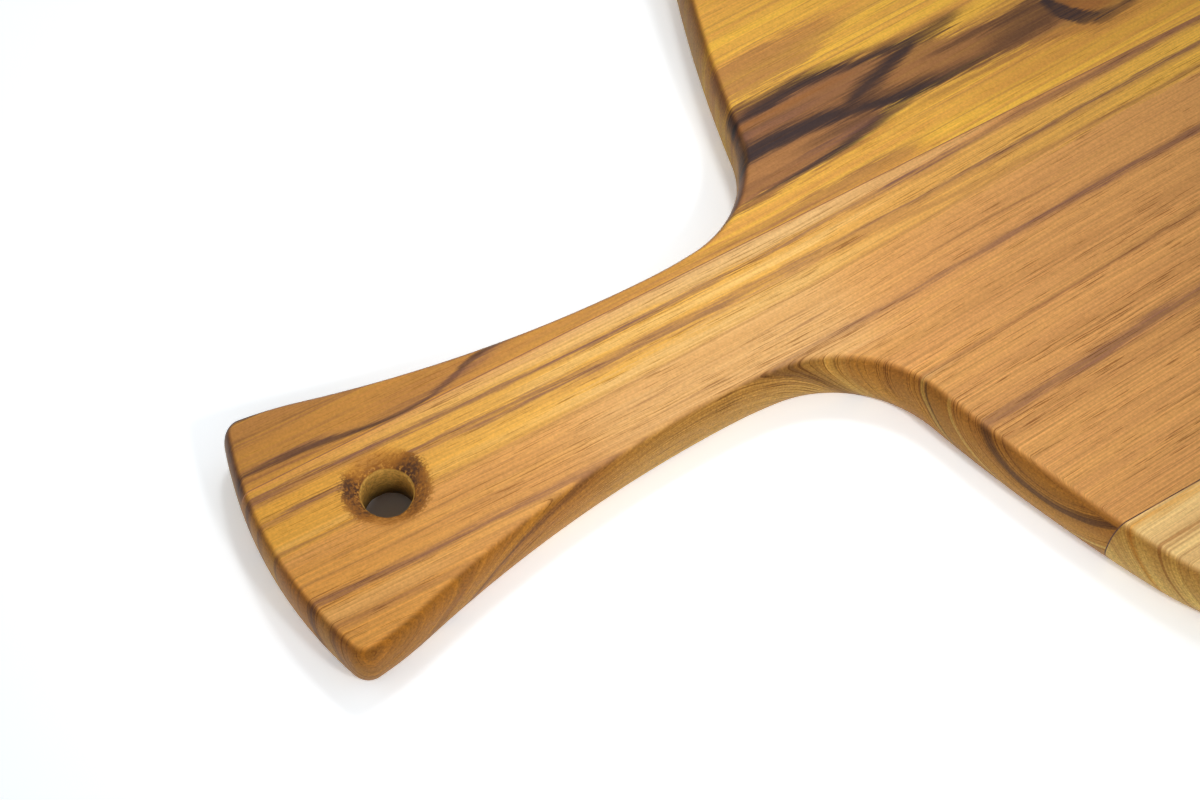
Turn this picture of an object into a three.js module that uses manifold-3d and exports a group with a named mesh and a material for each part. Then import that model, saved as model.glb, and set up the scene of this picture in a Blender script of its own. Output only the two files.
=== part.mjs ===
// Serving board: a paddle of three edge-glued teak staves with crowned edges and a drilled handle.
// Sizes are in millimetres. +Z is up, the underside lies on z = 0, the handle points along -X,
// and the origin is below the middle of the board. Distances along the board start at the handle end.

import * as THREE from 'three';
import { mergeVertices } from 'three/addons/utils/BufferGeometryUtils.js';
import Module from 'manifold-3d';

// Whole board
const BOARD_LENGTH = 530;
const BOARD_THICKNESS = 18;
const CROWN_INSET = 3; // how far the crowned edge draws in towards each face
const EDGE_BAND = 2; // upright band at mid-height between the two crowns

// Handle, which flares out from its waist to a bowed end
const WAIST_DISTANCE = 116;
const WAIST_WIDTH = 41.4;
const HANDLE_END_WIDTH = 73; // between the sides, before the corners are rounded
const HANDLE_END_RADIUS = 110;
const HANDLE_LIP_RADIUS = 94; // outward bow of the sides beside the end
const HANDLE_CORNER_RADIUS = 5.3;

// Neck, the hollow curve that leads from the waist into the shoulder
const NECK_EASE_RADIUS = 122;
const NECK_EASE_TURN = 6.2; // degrees
const NECK_RADIUS = 32.5;
const SHOULDER_SLOPE = 76.4; // degrees from the board's length, where the neck ends

// Body
const BODY_WIDTH = 320;
const BODY_WIDEST_DISTANCE = 345;
const BODY_CORNER_RADIUS = 79;
const SHOULDER_RADIUS = 433;
const SIDE_RADIUS = 1480;
const FAR_END_RADIUS = 620;

// Staves and the glue between them
const UPPER_STRIP_WIDTH = 5.4; // what the upper stave keeps of the handle at its waist
const LOWER_STAVE_WIDTH = 64.5;
const GLUE_THICKNESS = 0.3;

// Hanging hole, countersunk from both faces
const HOLE_DISTANCE = 32;
const HOLE_DIAMETER = 12.4;
const COUNTERSINK_DIAMETER = 20.7;
const COUNTERSINK_DEPTH = 3;

// Fineness of the facets
const CHORD_ERROR = 0.06;
const CROWN_STEPS = 5;
const HOLE_SIDES = 48;

const QUARTER = Math.PI / 2;
const HALF = Math.PI;
const HANDLE_END_X = -BOARD_LENGTH / 2;
const WAIST_X = HANDLE_END_X + WAIST_DISTANCE;
const WAIST_HALF = WAIST_WIDTH / 2;
const BODY_HALF = BODY_WIDTH / 2;

const wasm = await Module();
wasm.setup();

// Circles and the arcs between them

function circle(x, y, radius) {
  return { x, y, radius };
}

function directionTo(from, to) {
  return Math.atan2(to.y - from.y, to.x - from.x);
}

function pointOn(c, angle) {
  return new THREE.Vector2(c.x + c.radius * Math.cos(angle), c.y + c.radius * Math.sin(angle));
}

// The small circle that rounds the upper corner between two larger ones, touching both from inside
function cornerCircle(a, b, radius) {
  const reachA = a.radius - radius;
  const reachB = b.radius - radius;
  const apart = Math.hypot(b.x - a.x, b.y - a.y);
  const along = (reachA ** 2 - reachB ** 2 + apart ** 2) / (2 * apart);
  const aside = Math.sqrt(reachA ** 2 - along ** 2);
  const line = directionTo(a, b);
  const centres = [1, -1].map((side) => circle(
    a.x + along * Math.cos(line) - side * aside * Math.sin(line),
    a.y + along * Math.sin(line) + side * aside * Math.cos(line),
    radius,
  ));
  return centres[0].y > centres[1].y ? centres[0] : centres[1];
}

// Points along an arc, without its last one, where the next arc begins
function arcPoints(c, from, to) {
  const step = 2 * Math.acos(1 - CHORD_ERROR / c.radius);
  const count = Math.max(2, Math.ceil(Math.abs(to - from) / step));
  const arc = new THREE.ArcCurve(c.x, c.y, c.radius, from, to, to < from);
  return arc.getPoints(count).slice(0, -1);
}

// The upper half of the outline, from the middle of the handle end to the middle of the far end
function halfOutline() {
  const slope = THREE.MathUtils.degToRad(SHOULDER_SLOPE);
  const easeTurn = THREE.MathUtils.degToRad(NECK_EASE_TURN);

  const handleEnd = circle(HANDLE_END_X + HANDLE_END_RADIUS, 0, HANDLE_END_RADIUS);
  const lip = circle(HANDLE_END_X, HANDLE_END_WIDTH / 2 - HANDLE_LIP_RADIUS, HANDLE_LIP_RADIUS);
  const handleCorner = cornerCircle(handleEnd, lip, HANDLE_CORNER_RADIUS);

  // The hollow side touches the lip from outside and runs level at the waist
  const rise = WAIST_HALF - lip.y;
  const sideRadius = (WAIST_DISTANCE ** 2 + rise ** 2 - lip.radius ** 2) / (2 * (lip.radius - rise));
  const handleSide = circle(WAIST_X, WAIST_HALF + sideRadius, sideRadius);

  const ease = circle(WAIST_X, WAIST_HALF + NECK_EASE_RADIUS, NECK_EASE_RADIUS);
  const easeStop = pointOn(ease, easeTurn - QUARTER);
  const neck = circle(
    easeStop.x - NECK_RADIUS * Math.sin(easeTurn),
    easeStop.y + NECK_RADIUS * Math.cos(easeTurn),
    NECK_RADIUS,
  );

  const neckStop = pointOn(neck, slope - QUARTER);
  const shoulder = circle(
    neckStop.x + SHOULDER_RADIUS * Math.sin(slope),
    neckStop.y - SHOULDER_RADIUS * Math.cos(slope),
    SHOULDER_RADIUS,
  );
  const bodySide = circle(HANDLE_END_X + BODY_WIDEST_DISTANCE, BODY_HALF - SIDE_RADIUS, SIDE_RADIUS);
  const farEnd = circle(BOARD_LENGTH / 2 - FAR_END_RADIUS, 0, FAR_END_RADIUS);
  const nearCorner = cornerCircle(shoulder, bodySide, BODY_CORNER_RADIUS);
  const farCorner = cornerCircle(bodySide, farEnd, BODY_CORNER_RADIUS);

  const lipStop = directionTo(lip, handleSide);
  return [
    ...arcPoints(handleEnd, HALF, directionTo(handleEnd, handleCorner)),
    ...arcPoints(handleCorner, directionTo(handleEnd, handleCorner), directionTo(lip, handleCorner)),
    ...arcPoints(lip, directionTo(lip, handleCorner), lipStop),
    ...arcPoints(handleSide, lipStop - HALF, -QUARTER),
    ...arcPoints(ease, -QUARTER, easeTurn - QUARTER),
    ...arcPoints(neck, easeTurn - QUARTER, slope - QUARTER),
    ...arcPoints(shoulder, slope + QUARTER, directionTo(shoulder, nearCorner)),
    ...arcPoints(nearCorner, directionTo(shoulder, nearCorner), directionTo(bodySide, nearCorner)),
    ...arcPoints(bodySide, directionTo(bodySide, nearCorner), directionTo(bodySide, farCorner)),
    ...arcPoints(farCorner, directionTo(bodySide, farCorner), directionTo(farEnd, farCorner)),
    ...arcPoints(farEnd, directionTo(farEnd, farCorner), 0),
  ];
}

// Solids

function solidFrom(geometry) {
  geometry.deleteAttribute('normal');
  geometry.deleteAttribute('uv');
  const merged = mergeVertices(geometry);
  return new wasm.Manifold(new wasm.Mesh({
    numProp: 3,
    vertProperties: new Float32Array(merged.attributes.position.array),
    triVerts: new Uint32Array(merged.index.array),
  }));
}

function geometryFrom(solid) {
  const { vertProperties, triVerts } = solid.getMesh();
  const geometry = new THREE.BufferGeometry();
  geometry.setAttribute('position', new THREE.BufferAttribute(vertProperties, 3));
  geometry.setIndex(new THREE.BufferAttribute(triVerts, 1));
  geometry.computeVertexNormals();
  return geometry;
}

// The whole board before it is parted into staves, with an elliptical crown on both edges
function boardBlank() {
  const upper = halfOutline();
  const farTip = new THREE.Vector2(BOARD_LENGTH / 2, 0);
  const lower = upper.slice(1).reverse().map((p) => new THREE.Vector2(p.x, -p.y));
  const crownHeight = (BOARD_THICKNESS - EDGE_BAND) / 2;
  const geometry = new THREE.ExtrudeGeometry(new THREE.Shape([...upper, farTip, ...lower]), {
    depth: EDGE_BAND,
    bevelThickness: crownHeight,
    bevelSize: CROWN_INSET,
    bevelOffset: -CROWN_INSET,
    bevelSegments: CROWN_STEPS,
  });
  geometry.translate(0, 0, crownHeight);
  return solidFrom(geometry);
}

// The drill and both countersinks as one turned cutter, which runs past the faces
function holeCutter() {
  const past = COUNTERSINK_DEPTH;
  const bore = HOLE_DIAMETER / 2;
  const mouth = COUNTERSINK_DIAMETER - bore; // the cone's radius at the cutter's ends
  const profile = [
    new THREE.Vector2(0, -past),
    new THREE.Vector2(mouth, -past),
    new THREE.Vector2(bore, COUNTERSINK_DEPTH),
    new THREE.Vector2(bore, BOARD_THICKNESS - COUNTERSINK_DEPTH),
    new THREE.Vector2(mouth, BOARD_THICKNESS + past),
    new THREE.Vector2(0, BOARD_THICKNESS + past),
  ];
  const geometry = new THREE.LatheGeometry(profile, HOLE_SIDES);
  geometry.rotateX(QUARTER);
  geometry.translate(HANDLE_END_X + HOLE_DISTANCE, 0, 0);
  return solidFrom(geometry);
}

// The slice of the board between two planes across its width
function slice(board, from, to) {
  const corners = [[-1, from], [1, from], [1, to], [-1, to]];
  const plan = new THREE.Shape(corners.map(([end, y]) => new THREE.Vector2(end * BOARD_LENGTH, y)));
  const geometry = new THREE.ExtrudeGeometry(plan, { depth: 3 * BOARD_THICKNESS, bevelEnabled: false });
  geometry.translate(0, 0, -BOARD_THICKNESS);
  return geometryFrom(board.intersect(solidFrom(geometry)));
}

// The board: each glue line is centred on its seam, and the staves end at the glue's faces

const upperSeam = WAIST_HALF - UPPER_STRIP_WIDTH;
const lowerSeam = LOWER_STAVE_WIDTH - BODY_HALF;
const halfGlue = GLUE_THICKNESS / 2;

const teak = { roughness: 0.55, metalness: 0 };
const glue = { color: 0x5a3a26, roughness: 0.6, metalness: 0 };
const slices = [
  ['upper_stave', upperSeam + halfGlue, BODY_WIDTH, { color: 0xb98540, ...teak }],
  ['upper_glue_line', upperSeam - halfGlue, upperSeam + halfGlue, glue],
  ['centre_stave', lowerSeam + halfGlue, upperSeam - halfGlue, { color: 0xc98d4a, ...teak }],
  ['lower_glue_line', lowerSeam - halfGlue, lowerSeam + halfGlue, glue],
  ['lower_stave', -BODY_WIDTH, lowerSeam - halfGlue, { color: 0xd9ab5c, ...teak }],
];

const board = boardBlank().subtract(holeCutter());
const group = new THREE.Group();
for (const [name, from, to, finish] of slices) {
  const mesh = new THREE.Mesh(slice(board, from, to), new THREE.MeshStandardMaterial(finish));
  mesh.name = name;
  group.add(mesh);
}

export default group;
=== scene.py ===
"""Serving board of three edge-glued teak staves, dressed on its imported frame.

Sizes are metres in the meshes and millimetres in the figure of the wood. The underside lies on z = 0, the
handle points along -X, and distances along the board start at the handle end.
"""
import logging
import math
from dataclasses import dataclass
from enum import Enum
from typing import Any

import bmesh
import bpy
from bpy.types import Material, Mesh, NodeSocket, NodeTree, Object
from mathutils import Matrix, Vector, noise


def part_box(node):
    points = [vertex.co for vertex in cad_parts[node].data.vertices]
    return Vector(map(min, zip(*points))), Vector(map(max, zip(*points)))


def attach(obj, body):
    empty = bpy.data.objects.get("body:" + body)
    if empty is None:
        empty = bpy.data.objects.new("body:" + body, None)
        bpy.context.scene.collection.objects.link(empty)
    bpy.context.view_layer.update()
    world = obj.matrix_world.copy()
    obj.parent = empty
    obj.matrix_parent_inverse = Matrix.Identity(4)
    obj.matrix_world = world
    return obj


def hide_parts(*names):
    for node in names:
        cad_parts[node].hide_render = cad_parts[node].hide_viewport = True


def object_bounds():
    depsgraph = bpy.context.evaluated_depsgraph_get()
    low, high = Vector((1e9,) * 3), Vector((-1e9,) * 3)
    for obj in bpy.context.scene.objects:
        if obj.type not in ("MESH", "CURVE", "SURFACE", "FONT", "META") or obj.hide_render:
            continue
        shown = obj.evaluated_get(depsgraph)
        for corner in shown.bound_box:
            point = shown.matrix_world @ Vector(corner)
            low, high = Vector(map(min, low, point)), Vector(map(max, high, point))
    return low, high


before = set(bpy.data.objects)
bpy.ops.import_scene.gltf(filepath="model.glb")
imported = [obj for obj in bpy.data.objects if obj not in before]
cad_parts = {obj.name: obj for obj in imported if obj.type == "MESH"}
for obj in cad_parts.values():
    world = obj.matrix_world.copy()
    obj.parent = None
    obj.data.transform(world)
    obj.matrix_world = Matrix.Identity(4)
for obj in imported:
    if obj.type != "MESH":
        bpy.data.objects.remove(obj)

CAD_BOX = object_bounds()

log = logging.getLogger("serving_board")

MM = 0.001
TINY = 1e-6  # merging distance of coincident points
LEVEL = 0.999  # upward share of its normal from which a face counts as level
QUARTER = math.pi / 2

LENGTH = CAD_BOX[1].x - CAD_BOX[0].x
WIDTH = CAD_BOX[1].y - CAD_BOX[0].y
THICKNESS = CAD_BOX[1].z - CAD_BOX[0].z
HALF_LENGTH_MM = LENGTH / 2 / MM
HALF_WIDTH_MM = WIDTH / 2 / MM
THICKNESS_MM = THICKNESS / MM

# Settings that many nodes share
SMOOTH = {"interpolation_type": "SMOOTHSTEP"}
COLOUR = {"data_type": "RGBA"}

Profile = tuple[tuple[float, float], ...]  # distances from the handle end, each with a value there


class Tone(Enum):
    """Colours of teak heartwood and sapwood, of its scorched hole and of the glue."""

    STRAW = "#F6CF88"
    PALE = "#E2B677"
    GOLD = "#F0BA47"
    HONEY = "#DEA049"
    ORANGE = "#E1A55A"
    TAN = "#D29657"
    GINGER = "#D8943A"
    AMBER = "#CA8C40"
    CLAY = "#B27B46"
    BROWN = "#97653E"
    RUST = "#A0652F"
    UMBER = "#5E3F2B"
    PLUM = "#7A5246"
    INK = "#3A2B2A"
    SCORCH = "#9C6428"
    CHAR = "#503524"
    OLIVE = "#AA8440"
    GLUE = "#4E3228"


def linear(tone: Tone) -> tuple[float, float, float, float]:
    """Turns a tone's sRGB hex value into a linear colour with full alpha.

    Args:
        tone: The tone to convert.

    Returns:
        Red, green, blue and alpha in linear light.
    """
    parts = [int(tone.value[i:i + 2], 16) / 255 for i in (1, 3, 5)]
    light = [c / 12.92 if c <= 0.04045 else ((c + 0.055) / 1.055) ** 2.4 for c in parts]
    return light[0], light[1], light[2], 1.0


def add_node(
    tree: NodeTree, kind: str, inputs: dict[str, Any] | list[Any] | None = None, **settings: Any
) -> NodeSocket:
    """Adds a node, sets its properties, and fills or links its inputs.

    Args:
        tree: The tree that gets the node.
        kind: The node's type name, without ShaderNode before it.
        inputs: Values or sockets, by input name or in the order of the node's shown inputs; None skips one.
        **settings: Properties of the node.

    Returns:
        The node's first shown output.
    """
    node = tree.nodes.new(f"ShaderNode{kind}")
    for name, value in settings.items():
        setattr(node, name, value)
    shown = [socket for socket in node.inputs if socket.enabled]
    pairs = enumerate(inputs) if isinstance(inputs, list) else (inputs or {}).items()
    for key, value in pairs:
        socket = shown[key] if isinstance(key, int) else next(s for s in shown if s.name == key)
        if isinstance(value, NodeSocket):
            tree.links.new(value, socket)
        elif value is not None:
            socket.default_value = value
    return next((socket for socket in node.outputs if socket.enabled), None)


def bare_material(name: str) -> Material:
    """Makes a material whose node tree is still empty.

    Args:
        name: The material's name.

    Returns:
        The material.
    """
    made = bpy.data.materials.new(name)
    made.use_nodes = True
    made.node_tree.nodes.clear()
    return made


def put(name: str, data: Any) -> Object:
    """Puts a mesh, a lamp or a camera into the scene as an object.

    Args:
        name: The object's name.
        data: What the object shows.

    Returns:
        The object, at the origin.
    """
    thing = bpy.data.objects.new(name, data)
    bpy.context.scene.collection.objects.link(thing)
    return thing


def mesh_data(name: str, mesh: bmesh.types.BMesh) -> Mesh:
    """Turns a finished bmesh into mesh data.

    Args:
        name: Name of the data.
        mesh: The mesh, which is freed.

    Returns:
        The data.
    """
    data = bpy.data.meshes.new(name)
    mesh.to_mesh(data)
    mesh.free()
    return data


@dataclass(frozen=True)
class Circle:
    """A circle in the board's plan."""

    x: float
    y: float
    radius: float

    def towards(self, other: "Circle") -> float:
        """Angle of the line from this centre to the other's."""
        return math.atan2(other.y - self.y, other.x - self.x)

    def point(self, angle: float) -> Vector:
        """Point of the circle at an angle."""
        return Vector((self.x + self.radius * math.cos(angle), self.y + self.radius * math.sin(angle)))

    def corner_with(self, other: "Circle", radius: float) -> "Circle":
        """Finds the small circle that rounds the upper corner between two larger ones.

        Args:
            other: The second of the larger circles.
            radius: Radius of the rounding.

        Returns:
            The circle that touches both from inside.
        """
        reach, other_reach = self.radius - radius, other.radius - radius
        apart = math.hypot(other.x - self.x, other.y - self.y)
        along = (reach**2 - other_reach**2 + apart**2) / (2 * apart)
        aside = math.sqrt(reach**2 - along**2)
        line = self.towards(other)
        x, y = self.x + along * math.cos(line), self.y + along * math.sin(line)
        centres = [
            Circle(x - side * aside * math.sin(line), y + side * aside * math.cos(line), radius)
            for side in (1, -1)
        ]
        return max(centres, key=lambda circle: circle.y)


@dataclass(frozen=True)
class Arc:
    """Part of a circle, run through from one angle to another."""

    circle: Circle
    start: float
    stop: float

    def sweep(self, mesh: bmesh.types.BMesh, ends: list[Any], chord: float, fineness: float) -> list[Any]:
        """Draws the arc from the last point of the outline.

        Args:
            mesh: The mesh that holds the outline.
            ends: The point that the arc starts from.
            chord: Longest step along the arc.
            fineness: Fewest steps in each radian of the arc.

        Returns:
            The point that the arc ends in.
        """
        turn = self.stop - self.start
        steps = max(4, math.ceil(abs(turn) * max(self.circle.radius / chord, fineness)))
        swept = bmesh.ops.spin(
            mesh, geom=ends, cent=(self.circle.x, self.circle.y, 0), axis=(0, 0, 1), angle=turn, steps=steps
        )
        return swept["geom_last"]


@dataclass(frozen=True)
class PaddleOutline:
    """Plan of the board: a bowed and flared handle, a hollow neck and a rounded body."""

    waist_distance: float = 116 * MM
    waist_width: float = 41.4 * MM
    handle_end_width: float = 73 * MM
    handle_end_radius: float = 110 * MM
    handle_lip_radius: float = 94 * MM
    handle_corner_radius: float = 5.3 * MM
    neck_ease_radius: float = 122 * MM
    neck_ease_turn: float = math.radians(6.2)
    neck_radius: float = 32.5 * MM
    shoulder_slope: float = math.radians(76.4)
    body_widest_distance: float = 345 * MM
    body_corner_radius: float = 79 * MM
    shoulder_radius: float = 433 * MM
    side_radius: float = 1480 * MM
    far_end_radius: float = 620 * MM
    chord: float = 3 * MM
    fineness: float = 30

    def arcs(self) -> list[Arc]:
        """Works out the upper half of the outline as a chain of arcs that touch each other.

        Returns:
            The arcs, from the middle of the handle end to the middle of the far end.
        """
        end_x = -LENGTH / 2
        waist_x, waist_y = end_x + self.waist_distance, self.waist_width / 2
        handle_end = Circle(end_x + self.handle_end_radius, 0, self.handle_end_radius)
        lip = Circle(end_x, self.handle_end_width / 2 - self.handle_lip_radius, self.handle_lip_radius)
        handle_corner = handle_end.corner_with(lip, self.handle_corner_radius)

        rise = waist_y - lip.y
        side_radius = (self.waist_distance**2 + rise**2 - lip.radius**2) / (2 * (lip.radius - rise))
        handle_side = Circle(waist_x, waist_y + side_radius, side_radius)

        turn, slope = self.neck_ease_turn, self.shoulder_slope
        ease = Circle(waist_x, waist_y + self.neck_ease_radius, self.neck_ease_radius)
        meet = ease.point(turn - QUARTER)
        neck = Circle(
            meet.x - self.neck_radius * math.sin(turn),
            meet.y + self.neck_radius * math.cos(turn),
            self.neck_radius,
        )
        meet = neck.point(slope - QUARTER)
        shoulder = Circle(
            meet.x + self.shoulder_radius * math.sin(slope),
            meet.y - self.shoulder_radius * math.cos(slope),
            self.shoulder_radius,
        )
        body_side = Circle(end_x + self.body_widest_distance, WIDTH / 2 - self.side_radius, self.side_radius)
        far_end = Circle(LENGTH / 2 - self.far_end_radius, 0, self.far_end_radius)
        near_corner = shoulder.corner_with(body_side, self.body_corner_radius)
        far_corner = body_side.corner_with(far_end, self.body_corner_radius)

        lip_stop = lip.towards(handle_side)
        return [
            Arc(handle_end, math.pi, handle_end.towards(handle_corner)),
            Arc(handle_corner, handle_end.towards(handle_corner), lip.towards(handle_corner)),
            Arc(lip, lip.towards(handle_corner), lip_stop),
            Arc(handle_side, lip_stop - math.pi, -QUARTER),
            Arc(ease, -QUARTER, turn - QUARTER),
            Arc(neck, turn - QUARTER, slope - QUARTER),
            Arc(shoulder, slope + QUARTER, shoulder.towards(near_corner)),
            Arc(near_corner, shoulder.towards(near_corner), body_side.towards(near_corner)),
            Arc(body_side, body_side.towards(near_corner), body_side.towards(far_corner)),
            Arc(far_corner, body_side.towards(far_corner), far_end.towards(far_corner)),
            Arc(far_end, far_end.towards(far_corner), 0.0),
        ]

    def trace(self, mesh: bmesh.types.BMesh) -> None:
        """Draws the closed outline in the plane z = 0 and fills it with one face.

        Args:
            mesh: The empty mesh to draw in.
        """
        ends: list[Any] = [mesh.verts.new((-LENGTH / 2, 0, 0))]
        for arc in self.arcs():
            ends = arc.sweep(mesh, ends, self.chord, self.fineness)
        half = [*mesh.verts, *mesh.edges]
        bmesh.ops.mirror(mesh, geom=half, matrix=Matrix(), merge_dist=TINY, axis="Y")
        bmesh.ops.remove_doubles(mesh, verts=mesh.verts, dist=2 * TINY)
        bmesh.ops.edgeloop_fill(mesh, edges=mesh.edges)


@dataclass(frozen=True)
class BoardBlank:
    """The whole glued-up board with its crowned edge, before it is parted into staves."""

    outline: PaddleOutline
    crown_inset: float = 3 * MM
    edge_band: float = 2 * MM
    crown_steps: int = 14
    rim_inset: float = 0.5 * MM  # narrow flat ring that keeps the shading of the faces level

    def build(self) -> bmesh.types.BMesh:
        """Extrudes the outline, rounds its rims and stretches them to a half-elliptical crown.

        Returns:
            The closed mesh of the blank.
        """
        mesh = bmesh.new()
        self.outline.trace(mesh)
        stretch = (THICKNESS - self.edge_band) / 2 / self.crown_inset
        raised = bmesh.ops.extrude_face_region(mesh, geom=mesh.faces[:])["geom"]
        tops = [item for item in raised if isinstance(item, bmesh.types.BMVert)]
        bmesh.ops.translate(mesh, verts=tops, vec=(0, 0, THICKNESS / stretch))
        bmesh.ops.recalc_face_normals(mesh, faces=mesh.faces)
        rims = [edge for edge in mesh.edges if abs(edge.verts[0].co.z - edge.verts[1].co.z) < TINY]
        bmesh.ops.bevel(
            mesh, geom=rims, offset=self.crown_inset, offset_type="OFFSET", affect="EDGES",
            segments=self.crown_steps, profile=0.5, material=-1, clamp_overlap=False,
        )
        bmesh.ops.scale(mesh, verts=mesh.verts, vec=(1, 1, stretch))
        for face in flats_of(mesh):
            bmesh.ops.inset_region(mesh, faces=[face], thickness=self.rim_inset, use_even_offset=True)
        return mesh

    def slab(self, low: float, high: float) -> bmesh.types.BMesh:
        """Cuts the blank to the part between two planes across its width.

        Args:
            low: Lower limit along Y.
            high: Upper limit along Y.

        Returns:
            The closed mesh of that part, with hard edges where it was cut.
        """
        mesh = self.build()
        for face in mesh.faces:
            face.smooth = True
        for place, outward in ((low, -1), (high, 1)):
            cut = bmesh.ops.bisect_plane(
                mesh, geom=[*mesh.verts, *mesh.edges, *mesh.faces], dist=TINY / 10,
                plane_co=(0, place, 0), plane_no=(0, outward, 0), clear_outer=True,
            )
            rim = [item for item in cut["geom_cut"] if isinstance(item, bmesh.types.BMEdge)]
            if rim:
                bmesh.ops.edgeloop_fill(mesh, edges=rim)
                for edge in rim:
                    edge.smooth = False
        bmesh.ops.recalc_face_normals(mesh, faces=mesh.faces)
        return mesh


def flats_of(mesh: bmesh.types.BMesh) -> list[bmesh.types.BMFace]:
    """Picks the large level faces of a board, its serving face and its underside.

    Args:
        mesh: A mesh of the blank or of a stave.

    Returns:
        The two faces.
    """
    level = [face for face in mesh.faces if abs(face.normal.z) > LEVEL]
    return sorted(level, key=lambda face: face.calc_area())[-2:]


@dataclass(frozen=True)
class HangingHole:
    """Drilled hole in the handle, countersunk by hand from both faces."""

    distance: float = 32 * MM
    diameter: float = 12.4 * MM
    countersink_diameter: float = 20.7 * MM
    countersink_depth: float = 3 * MM
    ring_diameter: float = 25 * MM  # outer edge of the level ring that ties the hole into the face
    rim_softness: float = 0.9 * MM
    rim_steps: int = 5
    wall_cuts: int = 7
    steps: int = 120
    unevenness: float = 0.2 * MM
    coarse_size: float = 3.2 * MM  # of the unevenness
    fine_size: float = 1.1 * MM
    fade: float = 2 * MM  # over which the unevenness runs out towards the ring

    @property
    def axis(self) -> Vector:
        """Foot of the hole's axis on the underside."""
        return Vector((self.distance - LENGTH / 2, 0, 0))

    def cut_into(self, mesh: bmesh.types.BMesh) -> None:
        """Replaces the level faces of a stave by faces with the turned hole between them.

        Args:
            mesh: The closed mesh of the stave.
        """
        bmesh.ops.delete(mesh, geom=flats_of(mesh), context="FACES_ONLY")
        borders = [edge for edge in mesh.edges if edge.is_boundary]
        turned = self._turn(mesh)
        rings = [edge for edge in turned if edge.is_boundary]
        for level in (0, THICKNESS):
            loop = [edge for edge in [*borders, *rings] if abs(edge.verts[0].co.z - level) < 10 * TINY]
            bmesh.ops.triangle_fill(mesh, edges=loop, use_beauty=True, normal=(0, 0, 1))
        bmesh.ops.remove_doubles(mesh, verts=mesh.verts, dist=TINY)
        bmesh.ops.recalc_face_normals(mesh, faces=mesh.faces)

    def _turn(self, mesh: bmesh.types.BMesh) -> list[bmesh.types.BMEdge]:
        """Spins the hole's section about its axis, softens its rims and roughens its cones.

        Args:
            mesh: The mesh that gets the hole.

        Returns:
            The edges of the turned surface.
        """
        bore, mouth = self.diameter / 2, self.countersink_diameter / 2
        depth, ring = self.countersink_depth, self.ring_diameter / 2
        lower = [(ring, 0), (mouth, 0), (bore, depth)]
        upper = [(r, THICKNESS - z) for r, z in reversed(lower)]
        verts = [mesh.verts.new(self.axis + Vector((r, 0, z))) for r, z in [*lower, *upper]]
        for pair in zip(verts, verts[1:]):
            mesh.edges.new(pair)
        bmesh.ops.bevel(
            mesh, geom=verts[1:-1], offset=self.rim_softness, offset_type="OFFSET", affect="VERTICES",
            segments=self.rim_steps, profile=0.5, material=-1,
        )
        walls = [edge for edge in mesh.edges if edge.is_wire and edge.calc_length() > 2 * MM]
        bmesh.ops.subdivide_edges(mesh, edges=walls, cuts=self.wall_cuts)
        wire = [edge for edge in mesh.edges if edge.is_wire]
        ends = list({vert for edge in wire for vert in edge.verts})
        before = set(mesh.edges)
        bmesh.ops.spin(
            mesh, geom=[*ends, *wire], cent=self.axis, axis=(0, 0, 1), angle=2 * math.pi,
            steps=self.steps, use_merge=True,
        )
        edges = [*wire, *(edge for edge in mesh.edges if edge not in before)]
        for vert in {vert for edge in edges for vert in edge.verts}:
            self._roughen(vert)
        for edge in edges:
            for face in edge.link_faces:
                face.smooth = True
        return edges

    def _roughen(self, vert: bmesh.types.BMVert) -> None:
        """Moves a point of the hole a little in or out, as a hand-held cutter leaves it.

        Args:
            vert: The point to move.
        """
        arm = Vector((vert.co.x - self.axis.x, vert.co.y, 0))
        share = min(1.0, max(0.0, (self.ring_diameter / 2 - arm.length) / self.fade))
        coarse = noise.noise(vert.co / self.coarse_size)
        fine = noise.noise(vert.co / self.fine_size + Vector((7, 3, 5)))
        vert.co += arm.normalized() * (coarse + 0.5 * fine) * self.unevenness * share


@dataclass(frozen=True)
class Stop:
    """One place on a streak, in millimetres from the handle end and from the axis."""

    distance: float
    offset: float
    half_width: float
    strength: float


@dataclass(frozen=True)
class Streak:
    """A band of the wood's figure that runs along the board in one tone."""

    tone: Tone
    stops: tuple[Stop, ...]
    blur: float = 0.7  # half of the soft border, in millimetres
    fray: float = 0.5  # how far single fibres move the border, in millimetres
    fibrous: float = 0.5  # how far the band breaks up into fibres


def streak(tone: Tone, *stops: tuple[float, float, float, float], **look: float) -> Streak:
    """Writes a streak from plain numbers.

    Args:
        tone: The streak's colour.
        *stops: Distance, offset, half width and strength of each place on it.
        **look: Its blur, fray and fibrous share, where they differ from the usual.

    Returns:
        The streak.
    """
    return Streak(tone, tuple(Stop(*stop) for stop in stops), **look)


# Looks of streaks: dark ink, wide patches, faint haze and single lines
INKY = {"blur": 1.0, "fray": 0.5, "fibrous": 0.15}
ZONE = {"blur": 1.8, "fray": 1.3, "fibrous": 0.35}
HAZE = {"blur": 2.2, "fray": 1.4, "fibrous": 0.6}
LINE = {"blur": 0.45, "fray": 0.25, "fibrous": 0.5}

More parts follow.
